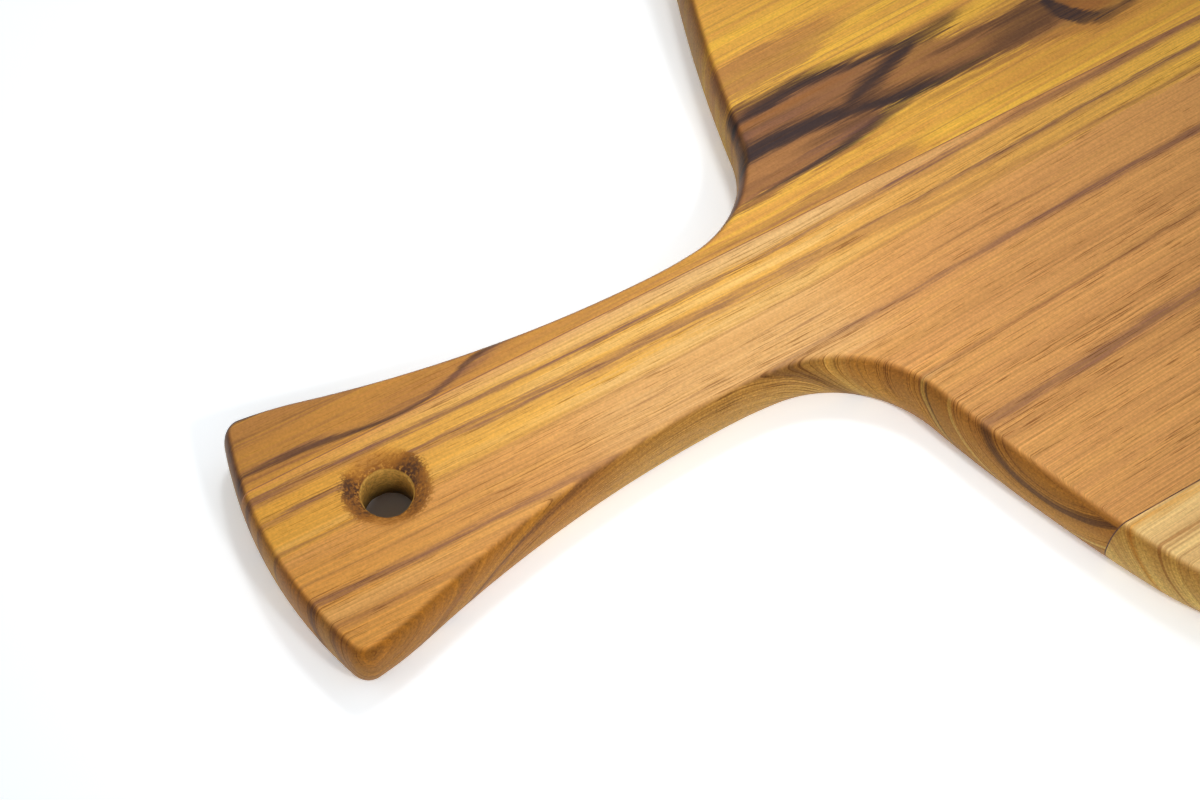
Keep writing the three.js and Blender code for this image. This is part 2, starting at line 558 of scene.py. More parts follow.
# Streaks of each stave, laid over one another in this order
UPPER_FIGURE = (
    streak(Tone.AMBER, (0, 26, 13, 1), (60, 24, 10, 1), (95, 20, 8, 0.85), (118, 16, 4, 0.8),
           (150, 16.2, 2.2, 0.6), (190, 17.4, 2, 0.6), (212, 18, 1, 0), blur=1.2, fray=0.6, fibrous=0.3),
    streak(Tone.INK, (0, 19.6, 0.6, 0.9), (8, 19.4, 0.7, 1), (16, 19.2, 0.8, 1), (24, 18.5, 0.85, 1),
           (30, 17.5, 0.8, 1), (38, 16.4, 0.6, 1), (45, 15.9, 0.55, 1), (50, 16.0, 0.6, 1), (55, 17.0, 0.6, 1),
           (60, 18.3, 0.75, 1), (66, 20.3, 0.85, 1), (72, 21.1, 0.8, 0.9), (84, 21.4, 0.8, 0), blur=0.45,
           fray=0.3, fibrous=0.2),
    streak(Tone.PLUM, (0, 20.4, 0.7, 0.6), (12, 20.2, 0.7, 0.6), (24, 19.6, 0.9, 0.5), (34, 18, 0.8, 0.2),
           (50, 17, 1.0, 0.5), (62, 18.2, 1.0, 0.6), (74, 20.2, 1.0, 0.3), (90, 20.4, 1, 0)),
    streak(Tone.BROWN, (0, 25, 8, 0.45), (20, 25, 8, 0.35), (34, 23, 7, 0.25), (46, 20, 5, 0.45),
           (64, 21, 5, 0.45), (80, 20, 4, 0.15), (98, 19, 4, 0.25), (120, 17, 3, 0), **HAZE),
    streak(Tone.BROWN, (0, 17.8, 0.3, 0.7), (18, 17.2, 0.35, 0.7), (30, 16.0, 0.3, 0.5), (40, 15.4, 0.3, 0),
           **LINE),
    streak(Tone.BROWN, (0, 26.6, 0.4, 0.3), (20, 27.0, 0.4, 0.6), (40, 27.4, 0.5, 0.7), (58, 26, 0.4, 0),
           **LINE),
    streak(Tone.BROWN, (10, 23.0, 0.3, 0), (26, 23.0, 0.3, 0.5), (44, 22.6, 0.3, 0), **LINE),
    streak(Tone.CLAY, (140, 60, 6.5, 0.9), (178, 60, 6, 0.9), (188, 61, 5, 0.8), (198, 62.4, 3.4, 0.6),
           (216, 64, 2, 0), blur=1.6, fray=2.2, fibrous=0.4),
    streak(Tone.BROWN, (140, 65.6, 0.5, 0.3), (166, 65.6, 0.5, 0.6), (205, 65.2, 0.4, 0), **LINE),
    streak(Tone.BROWN, (185, 66.3, 0.4, 0), (187.5, 66.3, 0.5, 0.9), (190, 66.3, 0.4, 0), **LINE),
    streak(Tone.BROWN, (120, 38, 14, 0), (136, 38, 14, 1), (165, 38.4, 13.5, 1), (186, 39.4, 11.5, 1),
           (200, 41, 8.5, 0.95), (211, 40.6, 7, 0.9), (222, 38.5, 6, 0.85), (236, 36.5, 6, 0.85),
           (250, 35, 7, 0.85), (262, 34, 9, 0.8), (284, 35, 8, 0.6), (330, 38, 5, 0), blur=1.3, fray=1.3,
           fibrous=0.12),
    streak(Tone.PLUM, (140, 44, 6.5, 0.1), (166, 44.4, 5, 0.12), (190, 44.8, 4, 0.2), (206, 45, 2, 0.3),
           (214, 46, 1, 0), **ZONE),
    streak(Tone.RUST, (140, 45.4, 0.7, 0.6), (165, 46.0, 0.8, 0.7), (190, 46.4, 0.7, 0.5), (205, 46.2, 0.5, 0)),
    streak(Tone.UMBER, (140, 43.6, 0.4, 0.5), (162, 43.9, 0.5, 0.6), (178, 44.3, 0.4, 0.4),
           (196, 44.6, 0.3, 0)),
    streak(Tone.UMBER, (150, 41.2, 0.3, 0.5), (170, 41.3, 0.4, 0.6), (186, 41.6, 0.4, 0.4), (198, 42, 0.3, 0)),
    streak(Tone.CLAY, (140, 31, 3, 0.6), (160, 32, 3, 0.75), (176, 32.6, 2.6, 0.7), (185, 33, 1.5, 0), **ZONE),
    streak(Tone.UMBER, (140, 28.4, 0.4, 0.4), (158, 29.4, 0.4, 0.5), (176, 30.4, 0.4, 0.4), (188, 31, 0.3, 0)),
    streak(Tone.BROWN, (150, 17.4, 0.6, 0.3), (172, 18.2, 0.8, 0.7), (190, 18.7, 0.6, 0.5), (202, 19, 0.4, 0)),
    streak(Tone.INK, (142, 41.5, 3.5, 0), (148, 41.5, 4.5, 0.85), (156, 41.6, 3.8, 0.9), (159, 41.8, 3.2, 0.5),
           (162, 42, 3, 0), blur=1.2, fray=0.8, fibrous=0.2),
    streak(Tone.INK, (136, 46, 1.2, 0.9), (160, 48.0, 1.2, 0.9), (166, 48.6, 1.5, 1), (175, 49.6, 1.8, 1),
           (182, 50.0, 1.7, 1), (188, 49.6, 1.4, 1), (196, 48.9, 1.2, 0.95), (205, 48.2, 1.4, 0.95),
           (212, 47.6, 1.6, 0.95), (219, 47.4, 1.4, 0.5), (232, 48.6, 1, 0), **INKY),
    streak(Tone.UMBER, (136, 51, 1.4, 0.6), (165, 51.2, 1.5, 0.8), (186, 51.8, 1.2, 0.6),
           (204, 50.2, 1.0, 0.6), (222, 49.4, 1.2, 0.5), (240, 49.6, 0.8, 0)),
    streak(Tone.UMBER, (136, 36.4, 2.8, 0.9), (165, 38.2, 2.6, 0.8), (184, 37.2, 2.8, 0.9),
           (200, 34.4, 2.8, 0.9), (216, 33.3, 2.3, 0.9), (230, 33.5, 2.2, 0.85), (248, 34.4, 2.4, 0.85),
           (256, 35, 2, 0), blur=1.4, fray=0.8, fibrous=0.2),
    streak(Tone.INK, (136, 36, 2.2, 1), (157, 37.6, 2.3, 1), (166, 38.0, 2.2, 1), (176, 37.5, 2.1, 1),
           (184, 37.0, 2.0, 1), (189, 36.0, 1.7, 0.95), (194, 34.6, 1.6, 1), (201, 33.4, 1.6, 1),
           (208, 33.1, 1.5, 0.95), (215, 32.9, 1.3, 0.8), (227, 33.2, 1.1, 0.6), (240, 34, 0.8, 0.4),
           (252, 34.8, 0.8, 0), **INKY),
    streak(Tone.UMBER, (182, 37.4, 1.5, 0), (189, 38.8, 2.8, 0.75), (196, 41.3, 3.0, 0.8),
           (204, 43.8, 2.8, 0.85), (211, 46.0, 2.0, 0.75), (220, 47.6, 1.4, 0), blur=1.2, fray=0.9,
           fibrous=0.2),
    streak(Tone.INK, (184, 37.4, 0.8, 0), (189, 38.6, 1.2, 0.8), (196, 41.2, 1.4, 0.9), (204, 43.8, 1.5, 0.95),
           (210, 45.7, 1.4, 0.95), (215, 47.0, 1.1, 0.5), (220, 48, 0.8, 0), blur=1.1, fray=0.7, fibrous=0.2),
    streak(Tone.INK, (120, 22, 0.4, 0), (140, 23.6, 0.5, 0.8), (150, 25, 0.5, 0.85), (162, 25.9, 0.7, 0.9),
           (172, 26.5, 1.0, 0.95), (181, 27.5, 1.7, 0.95), (188, 28.9, 2.0, 0.9), (195, 30.5, 1.9, 0.8),
           (202, 31.9, 1.4, 0.6), (208, 33, 0.8, 0), **INKY),
    streak(Tone.PLUM, (140, 42.8, 1.0, 0.5), (170, 43.0, 1.0, 0.5), (192, 43.4, 0.8, 0)),
    streak(Tone.UMBER, (150, 31.6, 1.0, 0.0), (172, 32.2, 1.3, 0.5), (186, 32.6, 1.6, 0.8),
           (192, 32.4, 1.8, 0.5), (198, 32, 1, 0), blur=0.9, fray=0.8),
    streak(Tone.PLUM, (160, 29.6, 0.7, 0), (178, 30.2, 0.9, 0.6), (190, 31, 0.8, 0.5), (198, 32, 0.6, 0)),
    streak(Tone.AMBER, (150, 24.4, 0.8, 0.5), (178, 25.2, 0.8, 0.8), (196, 27.6, 1.2, 0.8),
           (216, 29.0, 1.2, 0.8), (245, 29.4, 1.4, 0.9), (262, 27.4, 2, 0.7), (300, 27, 2, 0.2)),
    streak(Tone.BROWN, (196, 28.8, 0.5, 0.2), (212, 29.2, 0.6, 0.6), (240, 29.6, 0.8, 0.7), (262, 28, 0.8, 0)),
    streak(Tone.BROWN, (204, 38, 2, 0), (216, 38.6, 4.4, 0.6), (234, 38.6, 6, 0.7), (252, 40, 7, 0.7),
           (270, 42, 8, 0.4), (300, 42, 8, 0), blur=2.2, fray=1.6, fibrous=0.6),
    streak(Tone.UMBER, (205, 40.4, 0.8, 0), (220, 40.6, 1.0, 0.7), (240, 41.0, 1.4, 0.8),
           (252, 41.8, 1.5, 0.6), (266, 43, 1, 0)),
    streak(Tone.UMBER, (218, 36, 2.0, 0), (234, 36.6, 2.8, 0.6), (248, 37.4, 4.2, 0.85), (257, 38, 3.2, 0.5),
           (263, 38, 2.0, 0), blur=1.6, fray=1.2, fibrous=0.4),
    streak(Tone.RUST, (253, 35, 5, 0), (258, 35.5, 6, 0.8), (270, 36, 6, 0.8), (278, 36, 4, 0), blur=1.6),
    streak(Tone.INK, (249, 38.6, 1.6, 0), (252.5, 37.6, 4.2, 0.95), (255, 34.4, 4.2, 1), (258.5, 30.8, 3.0, 1),
           (264, 28, 2.1, 1), (270, 28.2, 1.3, 0.95), (276, 31, 1.6, 0.8), (280, 35, 1.4, 0), blur=1.0,
           fray=0.6, fibrous=0.3),
    streak(Tone.INK, (250, 39, 1.6, 0), (252.5, 39.5, 2.0, 0.9), (256, 42.6, 1.8, 0.9), (264, 44, 1.3, 0.9),
           (272, 42, 1.3, 0.9), (278, 37, 1.6, 0.8), (281, 35, 1.4, 0), blur=1.0, fray=0.6, fibrous=0.3),
    streak(Tone.UMBER, (212, 46.6, 1.2, 0), (219, 47.0, 2.0, 0.9), (228, 48.2, 1.7, 0.75), (240, 49.4, 1, 0),
           blur=1.0, fray=0.9),
    streak(Tone.CLAY, (110, 16.6, 1.2, 0), (145, 16.8, 1.4, 0.5), (176, 17.6, 1.8, 0.7), (192, 17.8, 1.4, 0.7),
           (200, 19, 0.8, 0)),
    streak(Tone.BROWN, (60, 16.2, 0.3, 0), (110, 16.4, 0.3, 0.5), (165, 16.6, 0.4, 0.8), (184, 17, 0.3, 0),
           **LINE),
    streak(Tone.BROWN, (150, 18.6, 0.3, 0.0), (168, 19.2, 0.4, 0.7), (188, 19.9, 0.5, 0.7), (206, 20, 0.3, 0),
           **LINE),
    streak(Tone.AMBER, (205, 22, 4, 0), (235, 23, 4.5, 0.6), (300, 24, 5, 0.6), (530, 30, 6, 0.5), **HAZE),
    streak(Tone.HONEY, (150, 82, 5, 0.5), (200, 84, 5, 0.6), (330, 90, 6, 0.5), (530, 100, 6, 0.8), **HAZE),
    streak(Tone.BROWN, (160, 76.4, 0.4, 0.3), (190, 76.8, 0.4, 0.4), (220, 77.5, 0.3, 0), **LINE),
    streak(Tone.CLAY, (230, 66, 2, 0), (290, 70, 3, 0.5), (360, 74, 2.5, 0.6), (530, 82, 3, 0.2), **HAZE),
    streak(Tone.AMBER, (180, 118, 4, 0.4), (300, 124, 5, 0.7), (530, 134, 4, 0.5), **HAZE),
)

# Tones of the upper stave's edge alone
UPPER_EDGE_FIGURE = (
    streak(Tone.UMBER, (140, 92, 16, 0.3), (180, 92, 16, 0.3), (230, 92, 16, 0), **HAZE),
    streak(Tone.HONEY, (140, 40.5, 4.5, 0.4), (170, 40.5, 4.5, 0.4), (190, 40.5, 4.5, 0), **HAZE),
)

CENTRE_FIGURE = (
    # A tan zone over the whole stave: light at the handle end, gone at the neck and strongest along the body.
    # It is partly the wood's own tone and partly painted shade away from the pool of light at the neck.
    streak(Tone.TAN, (0, -40, 60, 0.3), (40, -40, 60, 0.1), (70, -40, 60, 0), (125, -40, 60, 0),
           (155, -40, 60, 0.4), (200, -40, 60, 0.7), (530, -40, 60, 0.8), **ZONE),
    streak(Tone.GOLD, (0, 5.0, 9.6, 0.85), (60, 4.2, 9.0, 0.6), (120, 4.2, 8.8, 0.65), (150, 4.6, 8.2, 0.55),
           (185, 5, 7, 0.35), (230, 6, 6, 0.55), (290, 8, 7, 0.9), (530, 18, 8, 0.5), blur=1.1, fray=0.9,
           fibrous=0.3),
    # A darker ginger zone at the handle end. It is partly the wood's own tone and partly painted shade where
    # less light falls at that end.
    streak(Tone.GINGER, (0, -8, 40, 0.65), (22, -8, 40, 0.6), (45, -8, 40, 0.35), (70, -8, 40, 0.15),
           (140, -8, 40, 0.1), (200, -8, 40, 0), **ZONE),
    # A pale haze over the neck. It is partly the wood's own tone and partly a painted pool of light.
    streak(Tone.PALE, (60, -12, 10, 0), (95, -12, 11, 0.6), (135, -11, 13, 0.65), (160, -12, 15, 0.15),
           (180, -14, 16, 0), **HAZE),
    streak(Tone.PALE, (0, 14, 1.2, 0), (50, 13, 2.0, 0.25), (110, 12.9, 2.2, 0.7), (150, 13.2, 2.2, 0.95),
           (168, 13.5, 2.0, 0.7), (185, 13.8, 1.6, 0.5), (212, 14.5, 0.8, 0.3), (224, 15, 0.5, 0), blur=0.9,
           fray=0.6, fibrous=0.3),
    streak(Tone.STRAW, (58, 6.8, 0.9, 0), (80, 6.8, 1.2, 0.35), (110, 6.8, 1.2, 0.4), (150, 7.0, 1.2, 0.4),
           (172, 8.0, 0.8, 0.2), (200, 8.6, 0.6, 0)),
    streak(Tone.STRAW, (0, -2.0, 0.7, 0.2), (60, -2.4, 0.9, 0.15), (120, -2.2, 1.0, 0.2),
           (150, -1.4, 1.0, 0.2), (172, -0.4, 0.8, 0.1), (190, 0, 0.6, 0)),
    streak(Tone.PALE, (0, -23.0, 2.0, 0.35), (25, -23.4, 2.0, 0.3), (45, -23.6, 1.8, 0.05), (60, -24, 1.6, 0)),
    streak(Tone.CLAY, (204, 12.6, 0.6, 0), (222, 13.4, 1.6, 0.7), (250, 13.8, 1.7, 0.85), (285, 15, 1.8, 0.9),
           (400, 19, 3, 0.6), (530, 22, 3, 0.6), blur=0.9, fray=0.6),
    streak(Tone.CLAY, (0, 11.9, 1.7, 0.9), (18, 11.4, 1.5, 0.9), (40, 11.0, 1.0, 0.7), (80, 9.8, 0.9, 0.6),
           (140, 9.9, 0.9, 0.5), (180, 11.0, 1.0, 0.5), (194, 10.8, 1.3, 0.6), (210, 11.4, 0.9, 0)),
    streak(Tone.PLUM, (0, 12.6, 0.6, 0.7), (20, 12.0, 0.6, 0.8), (40, 11.1, 0.55, 0.9), (60, 10.4, 0.5, 0.9),
           (80, 9.7, 0.5, 0.95), (100, 9.6, 0.5, 0.9), (120, 9.7, 0.45, 0.8), (140, 9.9, 0.4, 0.7),
           (160, 10.5, 0.4, 0.6), (178, 11.3, 0.4, 0.6), (183, 11.6, 0.6, 1), (200, 12.0, 0.6, 0.9),
           (214, 12.6, 0.6, 0.6), (230, 13.4, 0.9, 0.5), (260, 14, 0.9, 0.7), (285, 15, 0.9, 0.7),
           (400, 18, 0.9, 0)),
    streak(Tone.CLAY, (0, 5.4, 1.0, 0.8), (20, 5.2, 1.0, 0.8), (45, 4.8, 1.1, 0.8), (70, 4.0, 1.3, 0.65),
           (100, 3.5, 1.5, 0.65), (140, 3.3, 1.5, 0.65), (180, 3.4, 1.2, 0.6), (205, 4.4, 1.1, 0.6),
           (280, 7.4, 1.2, 0.6), (400, 12, 1.2, 0.4)),
    streak(Tone.PLUM, (0, 6.1, 0.45, 0.8), (20, 5.8, 0.45, 0.8), (45, 5.3, 0.4, 0.8), (70, 4.6, 0.4, 0.65),
           (100, 4.2, 0.35, 0.5), (150, 4.0, 0.35, 0.5), (180, 4.3, 0.4, 0.6), (205, 5.3, 0.5, 0.8),
           (240, 6.7, 0.55, 0.9), (280, 8, 0.6, 0.9), (400, 12, 0.8, 0.6), (530, 15, 1, 0.2), blur=0.6),
    streak(Tone.PLUM, (44, 3.8, 0.2, 0), (60, 3.5, 0.4, 0.65), (80, 3.0, 0.45, 0.75), (110, 2.8, 0.45, 0.75),
           (140, 2.8, 0.4, 0.6), (165, 2.4, 0.3, 0), blur=0.6),
    streak(Tone.CLAY, (60, 1.5, 0.3, 0), (85, 1.3, 0.5, 0.5), (140, 1.5, 0.5, 0.5), (165, 1.8, 0.6, 0.7),
           (190, 1.1, 0.7, 0.7), (212, 0.9, 0.7, 0.6), (260, 1.7, 0.6, 0.6), (300, 2.6, 0.5, 0)),
    streak(Tone.BROWN, (0, -3.2, 0.4, 1), (20, -3.7, 0.35, 0.9), (40, -4.3, 0.25, 0.8), (80, -5.0, 0.25, 0.7),
           (120, -4.6, 0.25, 0.6), (150, -3.6, 0.3, 0.5), (180, -2.1, 0.4, 0.5), (215, 0, 0.5, 0.5),
           (265, 1.5, 0.4, 0.8), (400, 6, 0.6, 0.6), (530, 9, 0.8, 0.3), **LINE),
    streak(Tone.TAN, (0, -6.0, 1.8, 0.6), (60, -7, 1.6, 0.5), (130, -6.5, 1.6, 0.3), (170, -5, 1.4, 0), **HAZE),
    streak(Tone.BROWN, (40, -8.0, 0.15, 0), (58, -8.1, 0.2, 0.7), (72, -8.2, 0.15, 0), **LINE),
    streak(Tone.BROWN, (0, -10.2, 0.2, 0.4), (40, -10.6, 0.2, 0.6), (75, -11, 0.2, 0), **LINE),
    streak(Tone.BROWN, (0, -13.0, 0.25, 0.6), (30, -14.1, 0.25, 0.7), (52, -14.3, 0.25, 0.6),
           (80, -14.6, 0.2, 0), **LINE),
    streak(Tone.BROWN, (86, -11.0, 0.15, 0), (98, -11.0, 0.2, 0.7), (112, -10.6, 0.15, 0), **LINE),
    streak(Tone.BROWN, (92, -15.8, 0.15, 0), (108, -15.5, 0.2, 0.6), (126, -14.9, 0.15, 0), **LINE),
    streak(Tone.BROWN, (120, -9.4, 0.15, 0), (140, -8.8, 0.2, 0.6), (160, -7.9, 0.15, 0), **LINE),
    streak(Tone.BROWN, (126, -12.8, 0.15, 0), (142, -12.0, 0.25, 0.7), (158, -11.2, 0.15, 0), **LINE),
    streak(Tone.BROWN, (165, -11.6, 0.2, 0), (184, -10.4, 0.3, 0.8), (200, -9.6, 0.3, 0.9),
           (222, -9.2, 0.3, 0.4), (240, -9, 0.3, 0), **LINE),
    streak(Tone.CLAY, (0, -18.0, 1.2, 0.7), (20, -19.2, 1.3, 0.7), (40, -19.9, 1.3, 0.6), (75, -20, 1.2, 0.5),
           (110, -19.4, 1.0, 0.2), (200, -16.4, 1.2, 0.4), (260, -14.2, 1.7, 0.7), (340, -11.2, 2.4, 0.7),
           (530, -6, 2.4, 0.5)),
    streak(Tone.PLUM, (0, -18.1, 0.7, 0.8), (20, -19.3, 0.7, 0.8), (40, -20.0, 0.6, 0.7),
           (75, -20.3, 0.6, 0.6), (140, -18.5, 0.5, 0.6), (165, -17.9, 0.5, 0.7), (200, -16.4, 0.65, 0.8),
           (225, -15.3, 0.8, 0.9), (260, -14.2, 0.8, 0.9), (340, -11, 1.0, 0.9), (530, -6, 1.2, 0.4), blur=0.8),
    streak(Tone.CLAY, (0, -25.8, 1.0, 0.8), (22, -26.5, 1.0, 0.8), (40, -27.2, 0.8, 0.6), (70, -28, 0.6, 0)),
    streak(Tone.BROWN, (0, -25.6, 0.3, 0.6), (20, -26.2, 0.3, 0.6), (36, -26.8, 0.3, 0), **LINE),
    streak(Tone.CLAY, (150, -28.6, 1.6, 0.0), (180, -28.0, 1.6, 0.5), (215, -27.4, 1.4, 0.6),
           (235, -27, 1.4, 0.5), (330, -24, 1.6, 0.4), (530, -20, 2, 0.6), **HAZE),
    streak(Tone.CLAY, (150, -39.4, 0.8, 0.3), (178, -38.1, 0.8, 0.5), (210, -36.3, 0.8, 0.6),
           (243, -34.6, 0.9, 0.7), (330, -31, 1, 0.4), (450, -28, 0.8, 0)),
    streak(Tone.BROWN, (160, -38.9, 0.2, 0.5), (180, -38.0, 0.25, 0.7), (210, -36.3, 0.3, 0.8),
           (243, -34.6, 0.3, 0.8), (330, -31, 0.5, 0.4), (450, -28, 0.6, 0), **LINE),
    streak(Tone.PALE, (136, -40.0, 0.3, 0.8), (160, -39.8, 0.3, 0.7), (172, -39.6, 0.2, 0), **LINE),
    streak(Tone.CLAY, (160, -48, 2.0, 0), (190, -47.6, 2.0, 0.4), (215, -47, 2.0, 0.6), (300, -44, 2.5, 0.4),
           (530, -36, 3, 0.5), **HAZE),
    streak(Tone.CLAY, (140, -57.6, 2.6, 0.5), (190, -56.3, 2.6, 0.5), (225, -54, 2.6, 0.6),
           (330, -49, 2.6, 0.4), (530, -43, 2, 0.3), blur=1.6, fray=0.9),
    streak(Tone.PLUM, (140, -58, 1.2, 0.7), (165, -57.4, 1.2, 0.7), (190, -56.3, 1.3, 0.75),
           (225, -53.8, 1.3, 0.8), (330, -49, 1.5, 0.6), (530, -43, 1.5, 0.4), blur=1.1, fray=0.8),
    streak(Tone.CLAY, (150, -62.5, 2.0, 0.5), (210, -61, 2.0, 0.5), (330, -57, 2.5, 0.3), (530, -52, 2.5, 0.5),
           **HAZE),
)

# Bands of the centre stave's end grain, which the serving face doesn't show
CENTRE_EDGE_FIGURE = (
    streak(Tone.UMBER, (105, -19.6, 1.2, 0), (125, -19.8, 1.4, 0.15), (150, -20, 1.6, 0.3),
           (165, -20, 1.6, 0.3), (200, -20, 1.6, 0)),
    streak(Tone.UMBER, (120, -25.2, 1.8, 0), (140, -25.2, 1.9, 0.1), (170, -25, 1.8, 0.1), (200, -25, 1.8, 0),
           blur=1.2),
    streak(Tone.UMBER, (130, -33.5, 2.2, 0), (145, -33.5, 2.4, 0.1), (175, -33.5, 2.2, 0.1),
           (200, -33.5, 2, 0), blur=1.6),
    streak(Tone.UMBER, (130, -43.2, 3.0, 0), (145, -43.2, 3.2, 0.2), (180, -43.2, 3.0, 0.2), (200, -43, 3, 0),
           blur=1.8),
    streak(Tone.UMBER, (130, -57.6, 1.4, 0), (145, -57.6, 1.6, 0.5), (185, -57.4, 1.5, 0.5),
           (200, -57, 1.4, 0)),
    streak(Tone.PALE, (125, -22.5, 0.2, 0), (138, -22.5, 0.3, 0.7), (170, -22.4, 0.3, 0.6),
           (190, -22.4, 0.2, 0), **LINE),
    streak(Tone.UMBER, (140, -40.6, 0.3, 0.8), (180, -40.6, 0.3, 0.8), (200, -40.6, 0.3, 0), **LINE),
    streak(Tone.STRAW, (140, -39.7, 0.3, 1), (180, -39.7, 0.3, 1), (200, -39.7, 0.3, 0), **LINE),
    streak(Tone.STRAW, (154, -47.1, 0.3, 0), (158, -47.1, 0.4, 0.9), (168, -47.1, 0.4, 0.9),
           (200, -47.1, 0.3, 0), **LINE),
)

LOWER_FIGURE = (
    streak(Tone.CLAY, (140, -104.4, 0.5, 0.7), (185, -104.2, 0.6, 0.8), (240, -102, 0.5, 0.6),
           (300, -100, 0.5, 0)),
    streak(Tone.HONEY, (140, -97, 0.9, 0.8), (300, -96.7, 0.9, 0.7), (530, -96.4, 0.9, 0.7)),
    streak(Tone.CLAY, (200, -121, 0.8, 0.5), (320, -117, 1.0, 0.7), (530, -112, 0.9, 0.5)),
    streak(Tone.BROWN, (200, -139, 0.6, 0.4), (340, -135, 0.7, 0.7), (530, -131, 0.6, 0.4)),
)

# Angle about the hole in degrees, with how burnt the countersink is beside the bore and at its rim
BURNS = (
    (-180, 0.72, 0.6), (-165, 0.75, 0.6), (-148, 0.6, 0.35), (-123, 0.3, 0.15), (-95, 0.35, 0.2),
    (-72, 0.6, 0.5), (-50, 0.7, 0.6), (-28, 0.55, 0.55), (-10, 0.8, 0.5), (15, 0.9, 0.85), (32, 0.85, 0.65),
    (50, 0.5, 0.2), (66, 0.42, 0.12), (85, 0.45, 0.12), (101, 0.4, 0.15), (120, 0.5, 0.2), (134, 0.7, 0.7),
    (150, 0.8, 0.95), (165, 0.75, 0.8), (180, 0.72, 0.6),
)


@dataclass(frozen=True)
class Grain:
    """Node sockets that say where a point lies in the wood."""

    point: NodeSocket  # place on the board in millimetres
    ring: NodeSocket  # offset of the point's growth ring on the serving face, as a share of half the width
    along: NodeSocket  # place along the board from -1 to 1
    fibre: NodeSocket  # place along and across the grain in millimetres
    lines: NodeSocket  # noise of single fibres
    fray: NodeSocket  # noise of short torn fibres
    level: NodeSocket  # 1 on the faces and 0 where the edge stands upright
    wall: NodeSocket  # 1 on the edge and 0 on the faces
    cross: NodeSocket  # 1 where the edge was cut across the fibres and 0 where it runs along them
    shown: NodeSocket  # how far the figure shows, which can fade out below the serving face


